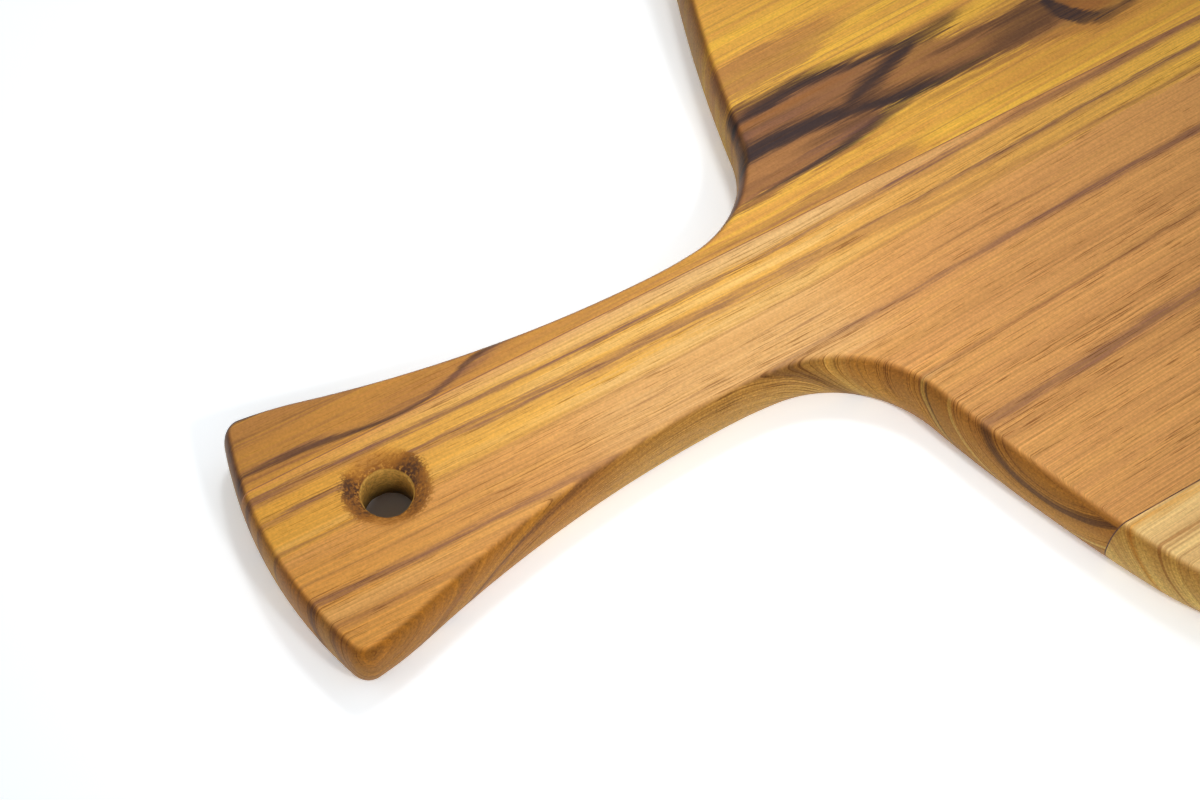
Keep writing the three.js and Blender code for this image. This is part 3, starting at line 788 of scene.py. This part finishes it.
@dataclass(frozen=True)
class TeakFinish:
    """Flat-sawn teak, sanded and oiled: satin, in long bands, with dark pores drawn out along the grain.

    The figure is solid, so a line on a face runs on over the crown and down the edge as a growth ring does.
    """

    name: str
    ground: Tone
    growth: Tone
    figure: tuple[Streak, ...]
    lean: float = 0.5  # sideways run of the rings for each millimetre of depth
    pith: float | None = None  # offset of the line below which the rings hang, where they turn back up
    # Twice the height of those rings' centre above the serving face
    bows: Profile = ((0, 30), (20, 30), (70, 150), (100, 150), (155, 36))
    # Sideways run of the fine grain, which follows the streaks
    drift: Profile = (
        (0, 2.0), (40, 1.0), (70, 0.3), (110, 0.0), (140, 0.0), (180, 1.5), (240, 4.2), (290, 6.0), (530, 12.0),
    )
    hole: HangingHole | None = None
    edge_figure: tuple[Streak, ...] = ()  # streaks that show on the edge alone
    figure_depth: float = THICKNESS_MM  # millimetres down to which the figure shows in full
    fibre_depth: tuple[float, float] = (0.21, 0.38)  # strength of fibre lines towards the far and the near side
    pore_share: tuple[float, float] = (0.75, 1.0)  # how dark pores are, in the same way
    edge_tint: tuple[float, float, float] = (1.0, 1.0, 1.0)  # by which this stave's sawn edge differs

    # Lengths and widths in millimetres
    swing_size: tuple[float, ...] = (75.0, 12.0, 12.0)  # of the waves in the rings
    band_size: tuple[float, ...] = (240.0, 3.0)  # of growth bands
    thin_size: tuple[float, ...] = (130.0, 1.1)  # of the brown lines between them
    line_size: tuple[float, ...] = (80.0, 0.5)  # of single fibres, drawn three times as wide so that they show
    fray_size: tuple[float, ...] = (15.0, 0.55)  # of torn fibres
    pore_size: tuple[float, ...] = (12.0, 0.3)  # of pores, drawn about twice as wide so that they show
    patch_size: tuple[float, ...] = (50.0, 6.0)  # of the patches in which pores lie close
    grit_size: tuple[float, ...] = (0.7, 0.7, 0.7)  # of sanding marks, drawn coarser than the grit to show
    cell_size: tuple[float, ...] = (0.55, 0.55, 0.55)  # of end-grain pits, drawn coarser than cells to show
    torn_size: tuple[float, ...] = (0.9, 0.7, 0.7)  # of the splinters in the hole

    # Tints of the sawn edge, near its foot and near its top; the foot's lighter tint is partly painted light
    # bounced up from the floor
    across_tints: tuple[tuple[float, ...], ...] = ((0.84, 1.13, 1.12, 1.0), (0.58, 0.66, 0.52, 1.0))
    beside_tints: tuple[tuple[float, ...], ...] = ((0.77, 0.98, 0.88, 1.0), (0.64, 0.71, 0.54, 1.0))
    arris_tint: tuple[float, ...] = (0.72, 0.56, 0.40, 1.0)
    pore_tint: tuple[float, ...] = (0.50, 0.42, 0.36)
    roughness: tuple[float, float] = (0.42, 0.6)  # beside pores and in them

    def material(self) -> Material:
        """Builds the material.

        Returns:
            The material, ready to assign.
        """
        made = bare_material(self.name)
        tree = made.node_tree
        place = add_node(tree, "TexCoord").node.outputs
        grain = self._grain(tree, place["Object"], place["Normal"])

        colour = self._ground_colour(tree, grain)
        for band in self.figure:
            colour = self._paint(tree, colour, band, grain, grain.shown)
        for band in self.edge_figure:
            colour = self._paint(tree, colour, band, grain, grain.wall)
        pores = self._pores(tree, grain)
        grit = self._fibres(tree, grain.point, self.grit_size, detail=1.0)
        colour = self._fine_lines(tree, colour, grain, pores, grit)
        colour = self._edges(tree, colour, grain)
        if self.hole:
            colour = self._scorched(tree, colour, grain)

        rough = add_node(tree, "MapRange", [pores, 0.0, 1.0, *self.roughness])
        relief = add_node(tree, "Math", [grain.lines, 0.6, grit], operation="MULTIPLY_ADD")
        height = add_node(tree, "Math", [pores, -0.8, relief], operation="MULTIPLY_ADD")
        bump = add_node(tree, "Bump", {"Strength": 0.3, "Distance": 0.08 * MM, "Height": height})
        shader = add_node(
            tree, "BsdfPrincipled",
            {"Base Color": colour, "Roughness": rough, "Normal": bump, "IOR": 1.45, "Specular IOR Level": 0.12},
        )
        add_node(tree, "OutputMaterial", {"Surface": shader})
        return made

    def _grain(self, tree: NodeTree, place: NodeSocket, normal: NodeSocket) -> Grain:
        """Works out where a point lies in the wood.

        Args:
            tree: The material's tree.
            place: Place on the board in metres.
            normal: The surface's direction.

        Returns:
            The sockets that the rest of the material reads.
        """
        point = add_node(tree, "VectorMath", [place, (1000, 1000, 1000)], operation="MULTIPLY")
        ring, along = self._rings(tree, point)
        across = add_node(tree, "Math", [ring, self._profile(tree, along, self.drift)], operation="SUBTRACT")
        x, _, z = add_node(tree, "SeparateXYZ", [point]).node.outputs
        fibre = add_node(tree, "CombineXYZ", [x, across, 0.0])
        share = add_node(tree, "Math", [ring, 1 / HALF_WIDTH_MM], operation="MULTIPLY")
        lines = self._fibres(tree, fibre, self.line_size, detail=3.0)
        fray = self._fibres(tree, fibre, self.fray_size, detail=3.0)

        nx, _, nz = add_node(tree, "SeparateXYZ", [normal]).node.outputs
        level = add_node(tree, "Math", [nz], operation="ABSOLUTE")
        wall = add_node(tree, "MapRange", [level, 0.97, 0.5, 0.0, 1.0], **SMOOTH)
        square = add_node(tree, "Math", [nx, nx], operation="MULTIPLY")
        cross = add_node(tree, "MapRange", [square, 0.05, 0.75, 0.0, 1.0], **SMOOTH)
        top = THICKNESS_MM - self.figure_depth
        shown = add_node(tree, "MapRange", [z, top - 4.0, top, 0.1, 1.0], **SMOOTH)
        return Grain(point, share, along, fibre, lines, fray, level, wall, cross, shown)

    def _fibres(self, tree: NodeTree, vector: NodeSocket, size: tuple[float, ...], detail: float) -> NodeSocket:
        """Draws noise that is stretched to fibres of a real size.

        Args:
            tree: The material's tree.
            vector: Place along and across the grain, in millimetres.
            size: Length and width of a fibre, and its depth where it matters, in millimetres.
            detail: Octaves of finer noise.

        Returns:
            A value around one half.
        """
        scale = tuple(1 / s for s in size) + (1.0,) * (3 - len(size))
        drawn = add_node(tree, "VectorMath", [vector, scale], operation="MULTIPLY")
        return add_node(tree, "TexNoise", {"Vector": drawn, "Scale": 1.0, "Detail": detail, "Roughness": 0.6})

    def _rings(self, tree: NodeTree, point: NodeSocket) -> tuple[NodeSocket, NodeSocket]:
        """Finds where the growth ring through a point meets the serving face.

        Args:
            tree: The material's tree.
            point: Place on the board in millimetres.

        Returns:
            That ring's offset from the axis, and the place along the board from -1 to 1.
        """
        x, y, z = add_node(tree, "SeparateXYZ", [point]).node.outputs
        depth = add_node(tree, "Math", [THICKNESS_MM, z], operation="SUBTRACT")
        along = add_node(tree, "Math", [x, 1 / HALF_LENGTH_MM], operation="MULTIPLY")
        if self.pith is None:
            across = add_node(tree, "Math", [depth, self.lean, y], operation="MULTIPLY_ADD")
        else:
            across = self._cupped(tree, along, y, depth)
        swing = self._fibres(tree, point, self.swing_size, detail=2.0)
        wobble = add_node(tree, "MapRange", [swing, 0.0, 1.0, -0.5, 0.5])
        ring = add_node(tree, "Math", [across, wobble], operation="ADD")
        return ring, along

    def _cupped(self, tree: NodeTree, along: NodeSocket, y: NodeSocket, depth: NodeSocket) -> NodeSocket:
        """Follows rings that hang like bows below the pith line and turn back up on its near side.

        Args:
            tree: The material's tree.
            along: Place along the board from -1 to 1.
            y: Offset from the axis in millimetres.
            depth: Depth below the serving face in millimetres.

        Returns:
            Offset, on the serving face, of the ring through the point.
        """
        past = add_node(tree, "Math", [y, -self.pith], operation="ADD")
        raised = add_node(tree, "Math", [depth, self._profile(tree, along, self.bows)], operation="ADD")
        drop = add_node(tree, "Math", [depth, raised], operation="MULTIPLY")
        square = add_node(tree, "Math", [past, past, drop], operation="MULTIPLY_ADD")
        reach = add_node(tree, "Math", [square, 0.5], operation="POWER")
        ring = add_node(tree, "Math", [reach, self.pith], operation="ADD")
        near = add_node(tree, "Math", [past, 0.0], operation="MINIMUM")
        shallow = add_node(tree, "MapRange", [depth, 0.3, 2.0, 2.0, 0.0], **SMOOTH)
        return add_node(tree, "Math", [near, shallow, ring], operation="MULTIPLY_ADD")

    def _profile(self, tree: NodeTree, along: NodeSocket, points: Profile) -> NodeSocket:
        """Draws a length that changes along the board.

        Args:
            tree: The material's tree.
            along: Place along the board from -1 to 1.
            points: Distances from the handle end, each with the length there, in millimetres.

        Returns:
            The length in millimetres.
        """
        curves = add_node(tree, "VectorCurve", {"Vector": along}).node
        self._draw(curves, 0, [(distance, length / HALF_WIDTH_MM) for distance, length in points])
        part = add_node(tree, "SeparateXYZ", [curves.outputs[0]])
        return add_node(tree, "Math", [part, HALF_WIDTH_MM], operation="MULTIPLY")

    def _draw(self, curves: bpy.types.Node, channel: int, points: list[tuple[float, float]]) -> None:
        """Draws one channel of a curve node over the length of the board.

        Args:
            curves: The curve node.
            channel: Number of the channel.
            points: Distances from the handle end in millimetres, each with the curve's value there.
        """
        placed = [(d / HALF_LENGTH_MM - 1, value) for d, value in points]
        if placed[0][0] > -1:
            placed.insert(0, (-1.0, placed[0][1]))
        if placed[-1][0] < 1:
            placed.append((1.0, placed[-1][1]))
        curve = curves.mapping.curves[channel]
        for knot, spot in zip(curve.points, (placed[0], placed[-1])):
            knot.location = spot
        for spot in placed[1:-1]:
            curve.points.new(*spot)
        for knot in curve.points:
            knot.handle_type = "AUTO_CLAMPED"
        curves.mapping.extend = "HORIZONTAL"
        curves.mapping.update()

    def _ground_colour(self, tree: NodeTree, grain: Grain) -> NodeSocket:
        """Mixes the ground tone with broad growth bands and thin brown lines.

        Args:
            tree: The material's tree.
            grain: Where the point lies in the wood.

        Returns:
            The colour.
        """
        broad = self._fibres(tree, grain.fibre, self.band_size, detail=3.0)
        share = add_node(tree, "MapRange", [broad, 0.36, 0.66, 0.0, 1.0], **SMOOTH)
        wood = add_node(tree, "Mix", [share, linear(self.ground), linear(self.growth)], **COLOUR)
        thin = self._fibres(tree, grain.fibre, self.thin_size, detail=2.0)
        most = add_node(tree, "MapRange", [grain.wall, 0.0, 1.0, 0.6, 0.3])
        brown = add_node(tree, "MapRange", [thin, 0.52, 0.72, 0.0, most], **SMOOTH)
        return add_node(tree, "Mix", [brown, wood, linear(Tone.CLAY)], **COLOUR)

    def _paint(
        self, tree: NodeTree, colour: NodeSocket, band: Streak, grain: Grain, mask: NodeSocket
    ) -> NodeSocket:
        """Lays one streak over the colour so far.

        Args:
            tree: The material's tree.
            colour: The colour so far.
            band: The streak.
            grain: Where the point lies in the wood.
            mask: Where the streak shows.

        Returns:
            The new colour.
        """
        curves = add_node(tree, "VectorCurve", {"Vector": grain.along}).node
        self._draw(curves, 0, [(s.distance, s.offset / HALF_WIDTH_MM) for s in band.stops])
        self._draw(curves, 1, [(s.distance, s.half_width / HALF_WIDTH_MM) for s in band.stops])
        self._draw(curves, 2, [(s.distance, s.strength) for s in band.stops])
        centre, half, strength = add_node(tree, "SeparateXYZ", [curves.outputs[0]]).node.outputs
        aside = add_node(tree, "Math", [grain.ring, centre], operation="SUBTRACT")
        away = add_node(tree, "Math", [aside], operation="ABSOLUTE")
        border = add_node(tree, "Math", [away, half], operation="SUBTRACT")
        torn, blur = 2 * band.fray / HALF_WIDTH_MM, band.blur / HALF_WIDTH_MM
        frayed = add_node(tree, "MapRange", [grain.fray, 0.25, 0.75, -torn, torn])
        edge = add_node(tree, "Math", [border, frayed], operation="ADD")
        cover = add_node(tree, "MapRange", [edge, blur, -blur, 0.0, 1.0], **SMOOTH)
        broken = add_node(tree, "MapRange", [grain.lines, 0.36, 0.6, 1 - band.fibrous, 1.0])
        whole = add_node(tree, "Math", [cover, broken], operation="MULTIPLY")
        masked = add_node(tree, "Math", [whole, mask], operation="MULTIPLY")
        share = add_node(tree, "Math", [masked, strength], operation="MULTIPLY", use_clamp=True)
        return add_node(tree, "Mix", [share, colour, linear(band.tone)], **COLOUR)

    def _pores(self, tree: NodeTree, grain: Grain) -> NodeSocket:
        """Scatters the short dark dashes that cut pores leave along the grain.

        Args:
            tree: The material's tree.
            grain: Where the point lies in the wood.

        Returns:
            1 in a pore and 0 beside it.
        """
        dashes = self._fibres(tree, grain.fibre, self.pore_size, detail=1.0)
        patches = self._fibres(tree, grain.fibre, self.patch_size, detail=2.0)
        spread = add_node(tree, "MapRange", [patches, 0.35, 0.65, 0.69, 0.53])
        over = add_node(tree, "Math", [dashes, spread], operation="SUBTRACT")
        return add_node(tree, "MapRange", [over, 0.0, 0.1, 0.0, 1.0], **SMOOTH)

    def _fine_lines(
        self, tree: NodeTree, colour: NodeSocket, grain: Grain, pores: NodeSocket, grit: NodeSocket
    ) -> NodeSocket:
        """Adds fine fibre lines and sanding marks, and darkens the pores.

        Args:
            tree: The material's tree.
            colour: The colour so far.
            grain: Where the point lies in the wood.
            pores: 1 in a pore and 0 beside it.
            grit: Noise of the sanding marks.

        Returns:
            The new colour.
        """
        coarse = add_node(tree, "MapRange", [grain.ring, -0.08, -0.30, *self.fibre_depth])
        sawn = add_node(tree, "MapRange", [grain.cross, 0.0, 0.4, 0.30, 0.11])
        depth = add_node(tree, "MapRange", [grain.wall, 0.0, 1.0, coarse, sawn])
        least = add_node(tree, "Math", [1.0, depth], operation="SUBTRACT")
        most = add_node(tree, "Math", [depth, 0.85, 1.0], operation="MULTIPLY_ADD")
        fibres = add_node(tree, "MapRange", [grain.lines, 0.25, 0.75, least, most])
        marks = add_node(tree, "MapRange", [grit, 0.25, 0.75, 0.90, 1.10])
        light = add_node(tree, "Math", [fibres, marks], operation="MULTIPLY")
        lit = add_node(tree, "VectorMath", {"Vector": colour, "Scale": light}, operation="SCALE")
        open_share = add_node(tree, "MapRange", [grain.ring, -0.08, -0.30, *self.pore_share])
        share = add_node(tree, "Math", [pores, open_share], operation="MULTIPLY")
        dark = add_node(tree, "VectorMath", [lit, self.pore_tint], operation="MULTIPLY")
        return add_node(tree, "Mix", [share, lit, dark], **COLOUR)

    def _edges(self, tree: NodeTree, colour: NodeSocket, grain: Grain) -> NodeSocket:
        """Deepens the sawn wood: the edge drinks oil, below a burnished arris. It gets painted shade towards
        the handle's end, and a foot that is lighter partly as painted light bounced from the floor.

        Args:
            tree: The material's tree.
            colour: The colour so far.
            grain: Where the point lies in the wood.

        Returns:
            The new colour.
        """
        height = add_node(tree, "SeparateXYZ", [grain.point]).node.outputs["Z"]
        # From the edge's foot to its top: the lighter foot is partly painted light bounced up from the floor
        patchy = add_node(tree, "Math", [grain.fray, 7.0, height], operation="MULTIPLY_ADD")
        rise = add_node(tree, "MapRange", [patchy, 5.0, 18.0, 0.0, 1.0], **SMOOTH)
        across = add_node(tree, "Mix", [rise, *self.across_tints], **COLOUR)
        beside = add_node(tree, "Mix", [rise, *self.beside_tints], **COLOUR)
        tint = add_node(tree, "Mix", [grain.cross, beside, across], **COLOUR)
        cells = self._fibres(tree, grain.point, self.cell_size, detail=2.0)
        grained = add_node(tree, "MapRange", [cells, 0.25, 0.75, 0.72, 1.28])
        own = add_node(tree, "VectorMath", [tint, self.edge_tint], operation="MULTIPLY")
        # Painted shade: the edge darkens towards the handle's end, where less light falls; the factor below
        # holds both the end-grain pits and this shade
        end = add_node(tree, "MapRange", [grain.along, -0.99, -0.82, 0.77, 1.0])
        oiled = add_node(tree, "Math", [grained, end], operation="MULTIPLY")
        pitted = add_node(tree, "VectorMath", {"Vector": own, "Scale": oiled}, operation="SCALE")
        soaked = add_node(tree, "Gamma", [colour, 1.35])
        sawn = add_node(tree, "VectorMath", [soaked, pitted], operation="MULTIPLY")
        cut = add_node(tree, "Mix", [grain.wall, colour, sawn], **COLOUR)
        upper = add_node(tree, "MapRange", [grain.level, 0.99, 0.80, 0.0, 1.0], **SMOOTH)
        lower = add_node(tree, "MapRange", [grain.level, 0.12, 0.5, 0.0, 1.0], **SMOOTH)
        arris = add_node(tree, "Math", [upper, lower], operation="MULTIPLY")
        ends = add_node(tree, "MapRange", [grain.cross, 0.0, 1.0, 0.25, 0.6])
        share = add_node(tree, "Math", [arris, ends], operation="MULTIPLY")
        return add_node(tree, "Mix", [share, cut, self.arris_tint], **COLOUR, blend_type="MULTIPLY")

    def _scorched(self, tree: NodeTree, colour: NodeSocket, grain: Grain) -> NodeSocket:
        """Burns and frays the countersink, and shows the raw wall of the bore, with painted shade that darkens
        it towards its foot.

        Args:
            tree: The material's tree.
            colour: The colour so far.
            grain: Where the point lies in the wood.

        Returns:
            The new colour.
        """
        axis = self.hole.axis / MM
        arm = add_node(tree, "VectorMath", [grain.point, tuple(axis)], operation="SUBTRACT")
        x, y, z = add_node(tree, "SeparateXYZ", [arm]).node.outputs
        flat = add_node(tree, "CombineXYZ", [x, y, 0.0])
        reach = add_node(tree, "VectorMath", [flat], operation="LENGTH").node.outputs["Value"]
        turn = add_node(tree, "Math", [y, x], operation="ARCTAN2")
        share_turn = add_node(tree, "Math", [turn, 1 / math.pi], operation="MULTIPLY")
        burns = add_node(tree, "VectorCurve", {"Vector": share_turn}).node
        for channel in (0, 1):
            around = [((angle / 180 + 1) * HALF_LENGTH_MM, heat[channel]) for angle, *heat in BURNS]
            self._draw(burns, channel, around)
        inner, outer, _ = add_node(tree, "SeparateXYZ", [burns.outputs[0]]).node.outputs

        torn = self._fibres(tree, arm, self.torn_size, detail=3.0)
        ragged = add_node(tree, "MapRange", [torn, 0.2, 0.8, -2.0, 2.0])
        rough_reach = add_node(tree, "Math", [reach, ragged], operation="ADD")
        mouth = self.hole.countersink_diameter / 2 / MM
        bore = self.hole.diameter / 2 / MM
        outwards = add_node(tree, "MapRange", [rough_reach, bore + 0.8, mouth - 0.6, 0.0, 1.0], **SMOOTH)
        heat = add_node(tree, "Mix", [outwards, inner, outer], data_type="FLOAT")
        specks = add_node(tree, "MapRange", [torn, 0.25, 0.75, -0.42, 0.42])
        char = add_node(tree, "Math", [heat, specks], operation="ADD")
        toasted = add_node(tree, "MapRange", [char, 0.0, 0.45, 0.0, 1.0], **SMOOTH)
        burnt = add_node(tree, "MapRange", [char, 0.4, 1.05, 0.0, 1.0], **SMOOTH)
        brown = add_node(tree, "Mix", [toasted, linear(Tone.AMBER), linear(Tone.SCORCH)], **COLOUR)
        dark = add_node(tree, "Mix", [burnt, brown, linear(Tone.CHAR)], **COLOUR)
        rim = add_node(tree, "MapRange", [reach, bore + 1.6, bore + 0.5, 0.0, 0.6])
        chips = add_node(tree, "MapRange", [torn, 0.46, 0.38, 0.0, 1.0])
        pale = add_node(tree, "Math", [rim, chips], operation="MULTIPLY")
        cone = add_node(tree, "Mix", [pale, dark, linear(Tone.HONEY)], **COLOUR)
        inside = add_node(tree, "MapRange", [reach, bore + 0.45, bore + 0.15, 0.0, 1.0], **SMOOTH)
        mottle = add_node(tree, "MapRange", [torn, 0.25, 0.75, 0.55, 1.65])
        # Painted shade: the bore's wall darkens towards its foot, deep in the hole, and is lighter near its top
        foot = add_node(tree, "MapRange", [z, 2.0, 13.0, 0.1, 1.35], **SMOOTH)
        light = add_node(tree, "Math", [mottle, foot], operation="MULTIPLY")
        raw = linear(Tone.OLIVE)[:3]
        wall = add_node(tree, "VectorMath", {"Vector": raw, "Scale": light}, operation="SCALE")
        cavity = add_node(tree, "Mix", [inside, cone, wall], **COLOUR)
        cover = add_node(tree, "MapRange", [rough_reach, mouth + 1.2, mouth - 0.6, 0.0, 1.0], **SMOOTH)
        strength = add_node(tree, "MapRange", [char, 0.0, 0.5, 0.3, 1.0])
        share = add_node(tree, "Math", [cover, strength], operation="MULTIPLY")
        most = add_node(tree, "Math", [share, inside], operation="MAXIMUM")
        return add_node(tree, "Mix", [most, colour, cavity], **COLOUR)


@dataclass(frozen=True)
class GlueFinish:
    """Cured wood glue, squeezed to a film and sanded flush: a thin dull brown line that varies a little."""

    name: str
    tone: Tone
    patch_size: float = 6.0  # millimetres

    def material(self) -> Material:
        """Builds the material.

        Returns:
            The material, ready to assign.
        """
        made = bare_material(self.name)
        tree = made.node_tree
        place = add_node(tree, "TexCoord").node.outputs["Object"]
        patches = add_node(
            tree, "TexNoise", {"Vector": place, "Scale": 1 / (self.patch_size * MM), "Detail": 3.0}
        )
        worn = add_node(tree, "MapRange", [patches, 0.45, 0.75, 0.0, 0.6])
        colour = add_node(tree, "Mix", [worn, linear(self.tone), linear(Tone.CLAY)], **COLOUR)
        rough = add_node(tree, "MapRange", [patches, 0.3, 0.7, 0.5, 0.65])
        shader = add_node(
            tree, "BsdfPrincipled",
            {"Base Color": colour, "Roughness": rough, "IOR": 1.46, "Specular IOR Level": 0.3},
        )
        add_node(tree, "OutputMaterial", {"Surface": shader})
        return made


@dataclass(frozen=True)
class BoardPart:
    """A slice of the board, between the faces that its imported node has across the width."""

    node: str
    slot: str
    finish: TeakFinish | GlueFinish
    blank: BoardBlank
    hole: HangingHole | None = None

    def build(self) -> Object:
        """Makes the slice, dresses it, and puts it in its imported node's place.

        Returns:
            The finished piece.
        """
        low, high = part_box(self.node)
        mesh = self.blank.slab(low.y, high.y)
        if self.hole:
            self.hole.cut_into(mesh)
        piece = put(f"{self.node}_dressed", mesh_data(f"{self.node}_wood", mesh))
        piece.data.materials.append(self.finish.material())
        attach(piece, "root")
        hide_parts(self.node)
        return piece


@dataclass(frozen=True)
class Lamp:
    """A soft lamp outside the picture, whose pool of light fades out towards its rim."""

    name: str
    power: float
    towards: tuple[float, float, float]  # direction from the board to the lamp
    aim: tuple[float, float]  # middle of the pool, from the handle end and from the axis
    cone: float
    radius: float = 0.07
    distance: float = 0.8

    def build(self) -> None:
        """Hangs the lamp."""
        data = bpy.data.lights.new(self.name, "SPOT")
        data.energy = self.power
        data.shadow_soft_size = self.radius
        data.spot_size = self.cone
        data.spot_blend = 1.0
        lamp = put(self.name, data)
        towards = Vector(self.towards).normalized()
        pool = Vector((self.aim[0] - LENGTH / 2, self.aim[1], THICKNESS))
        lamp.location = pool + towards * self.distance
        lamp.rotation_euler = towards.to_track_quat("Z", "Y").to_euler()


@dataclass(frozen=True)
class Studio:
    """White floor, soft light and the camera."""

    floor_size: float = 6.0
    sky: tuple[float, float] = (1.6, 0.16)  # light from the horizon and from the zenith
    floor_colour: float = 0.75  # to the light, and to the camera where it shows through the hole as painted shade
    floor_shade: tuple[float, float] = (10 * MM, 20 * MM)  # from the hole's axis, where that gives way to:
    floor_seen: tuple[float, float] = (1.46, 1.62)  # to the camera, around the board and far from it
    floor_reach: tuple[float, float] = (0.3, 0.7)  # distances between which that changes
    floor_tint: tuple[float, float, float] = (0.98, 1.02, 1.05)  # against the wood's warm glow on it
    lamps: tuple[Lamp, ...] = (
        Lamp("front_lamp", 8.1, (0.149, -0.672, 0.725), (110 * MM, -10 * MM), math.radians(24)),
        Lamp("back_lamp", 8.2, (0.27, 0.32, 0.91), (118 * MM, 0.0), math.radians(22), radius=0.085),
    )

    # The camera, as it was fitted to the picture; angles are in radians
    image_width: int = 1200
    sensor_width: float = 36.0
    focal_pixels: float = 2231.72
    azimuth: float = -2.11725
    elevation: float = 1.04382
    roll: float = 0.01036
    distance: float = 554.58 * MM
    aim: tuple[float, float] = (92.52 * MM, 3.73 * MM)  # from the handle end and from the axis

    def build(self) -> None:
        """Sets up the floor, the light, the camera and the plain view."""
        self._floor()
        self._world()
        for lamp in self.lamps:
            lamp.build()
        self._camera()
        bpy.context.scene.view_settings.view_transform = "Standard"

    def _target(self) -> Vector:
        """Point on the floor plane that the camera looks at."""
        return Vector((self.aim[0] - LENGTH / 2, self.aim[1], 0))

    def _shown(self, tree: NodeTree) -> NodeSocket:
        """Tells rays of sight from rays of light.

        Args:
            tree: Tree of the floor or of the sky.

        Returns:
            1 for what the camera sees, also in gloss and through glass, and 0 for light.
        """
        rays = add_node(tree, "LightPath").node.outputs
        seen = add_node(tree, "Math", [rays["Is Camera Ray"], rays["Is Glossy Ray"]], operation="MAXIMUM")
        return add_node(tree, "Math", [seen, rays["Is Transmission Ray"]], operation="MAXIMUM")

    def _floor(self) -> None:
        """Lays a large floor of matt paper, which looks whiter to the camera than to the light, except for
        painted shade where it shows through the hole.
        """
        mesh = bmesh.new()
        bmesh.ops.create_grid(mesh, x_segments=1, y_segments=1, size=self.floor_size / 2)
        floor = put("floor", mesh_data("floor_sheet", mesh))
        made = bare_material("matt_white_paper")
        tree = made.node_tree
        place = add_node(tree, "TexCoord").node.outputs["Object"]
        middle = self._target()
        away = add_node(tree, "VectorMath", [place, middle], operation="DISTANCE").node.outputs["Value"]
        bright = add_node(tree, "MapRange", [away, *self.floor_reach, *self.floor_seen], **SMOOTH)
        # Painted shade on the floor below the hole: near the hole's axis the camera sees the plain colour
        # instead of the whiter look
        foot = HangingHole().axis
        under = add_node(tree, "VectorMath", [place, foot], operation="DISTANCE").node.outputs["Value"]
        lit = add_node(tree, "MapRange", [under, *self.floor_shade, 0.0, self._shown(tree)])
        white = add_node(tree, "VectorMath", {"Vector": self.floor_tint, "Scale": bright}, operation="SCALE")
        plain = (self.floor_colour, self.floor_colour, self.floor_colour, 1.0)
        shade = add_node(tree, "Mix", [lit, plain, white], **COLOUR)
        paper = add_node(tree, "BsdfDiffuse", {"Color": shade})
        add_node(tree, "OutputMaterial", {"Surface": paper})
        floor.data.materials.append(made)

    def _world(self) -> None:
        """Makes an even sky that is brightest near the horizon and looks white itself."""
        world = bpy.data.worlds.new("soft_sky")
        bpy.context.scene.world = world
        world.use_nodes = True
        tree = world.node_tree
        tree.nodes.clear()
        place = add_node(tree, "TexCoord").node.outputs["Generated"]
        height = add_node(tree, "SeparateXYZ", [place]).node.outputs["Z"]
        light = add_node(tree, "MapRange", [height, 0.0, 1.0, *self.sky])
        strength = add_node(tree, "Mix", [self._shown(tree), light, 1.0], data_type="FLOAT")
        sky = add_node(tree, "Background", {"Color": (1, 1, 1, 1), "Strength": strength})
        add_node(tree, "OutputWorld", {"Surface": sky})

    def _camera(self) -> None:
        """Stands the camera where the picture was taken from."""
        a, e, r = self.azimuth, self.elevation, self.roll
        back = Vector((math.cos(a) * math.cos(e), math.sin(a) * math.cos(e), math.sin(e)))
        side = Vector((-math.sin(a), math.cos(a), 0))
        up = back.cross(side)
        right = math.cos(r) * side + math.sin(r) * up
        top = math.cos(r) * up - math.sin(r) * side
        data = bpy.data.cameras.new("camera")
        data.sensor_fit = "HORIZONTAL"
        data.sensor_width = self.sensor_width
        data.lens = self.focal_pixels * self.sensor_width / self.image_width
        data.clip_start = 0.01
        camera = put("camera", data)
        turn = Matrix((right, top, back)).transposed()
        camera.matrix_world = Matrix.Translation(self._target() + back * self.distance) @ turn.to_4x4()
        bpy.context.scene.camera = camera


def main() -> None:
    """Builds the studio and the board's pieces, and reports each one."""
    logging.basicConfig(level=logging.INFO, format="%(name)s: %(message)s")
    Studio().build()
    blank = BoardBlank(PaddleOutline())
    hole = HangingHole()
    thin_glue = GlueFinish("cured_wood_glue_amber_film", Tone.BROWN)
    dark_glue = GlueFinish("cured_wood_glue_dark_film", Tone.GLUE)
    parts = (
        BoardPart("upper_stave", "teak_upper", TeakFinish(
            "teak_golden_streaked_oiled", Tone.GOLD, Tone.HONEY, UPPER_FIGURE, lean=0.3, figure_depth=2.0,
            fibre_depth=(0.15, 0.15), pore_share=(0.35, 0.35), edge_tint=(0.69, 0.65, 0.58),
            edge_figure=UPPER_EDGE_FIGURE,
        ), blank),
        BoardPart("upper_glue_line", "glue", thin_glue, blank),
        BoardPart("centre_stave", "teak_centre", TeakFinish(
            "teak_tan_striped_oiled", Tone.ORANGE, Tone.TAN, CENTRE_FIGURE, pith=-76.5, hole=hole,
            edge_figure=CENTRE_EDGE_FIGURE,
        ), blank, hole),
        BoardPart("lower_glue_line", "glue", dark_glue, blank),
        BoardPart("lower_stave", "teak_lower", TeakFinish(
            "teak_sapwood_pale_oiled", Tone.STRAW, Tone.PALE, LOWER_FIGURE, lean=0.85,
            fibre_depth=(0.24, 0.24), pore_share=(0.6, 0.6), edge_tint=(0.96, 0.84, 0.82),
        ), blank),
    )
    for part in parts:
        piece = part.build()
        log.info("%s: %d faces, %s", piece.name, len(piece.data.polygons), piece.data.materials[0].name)


if __name__ == "__main__":
    main()
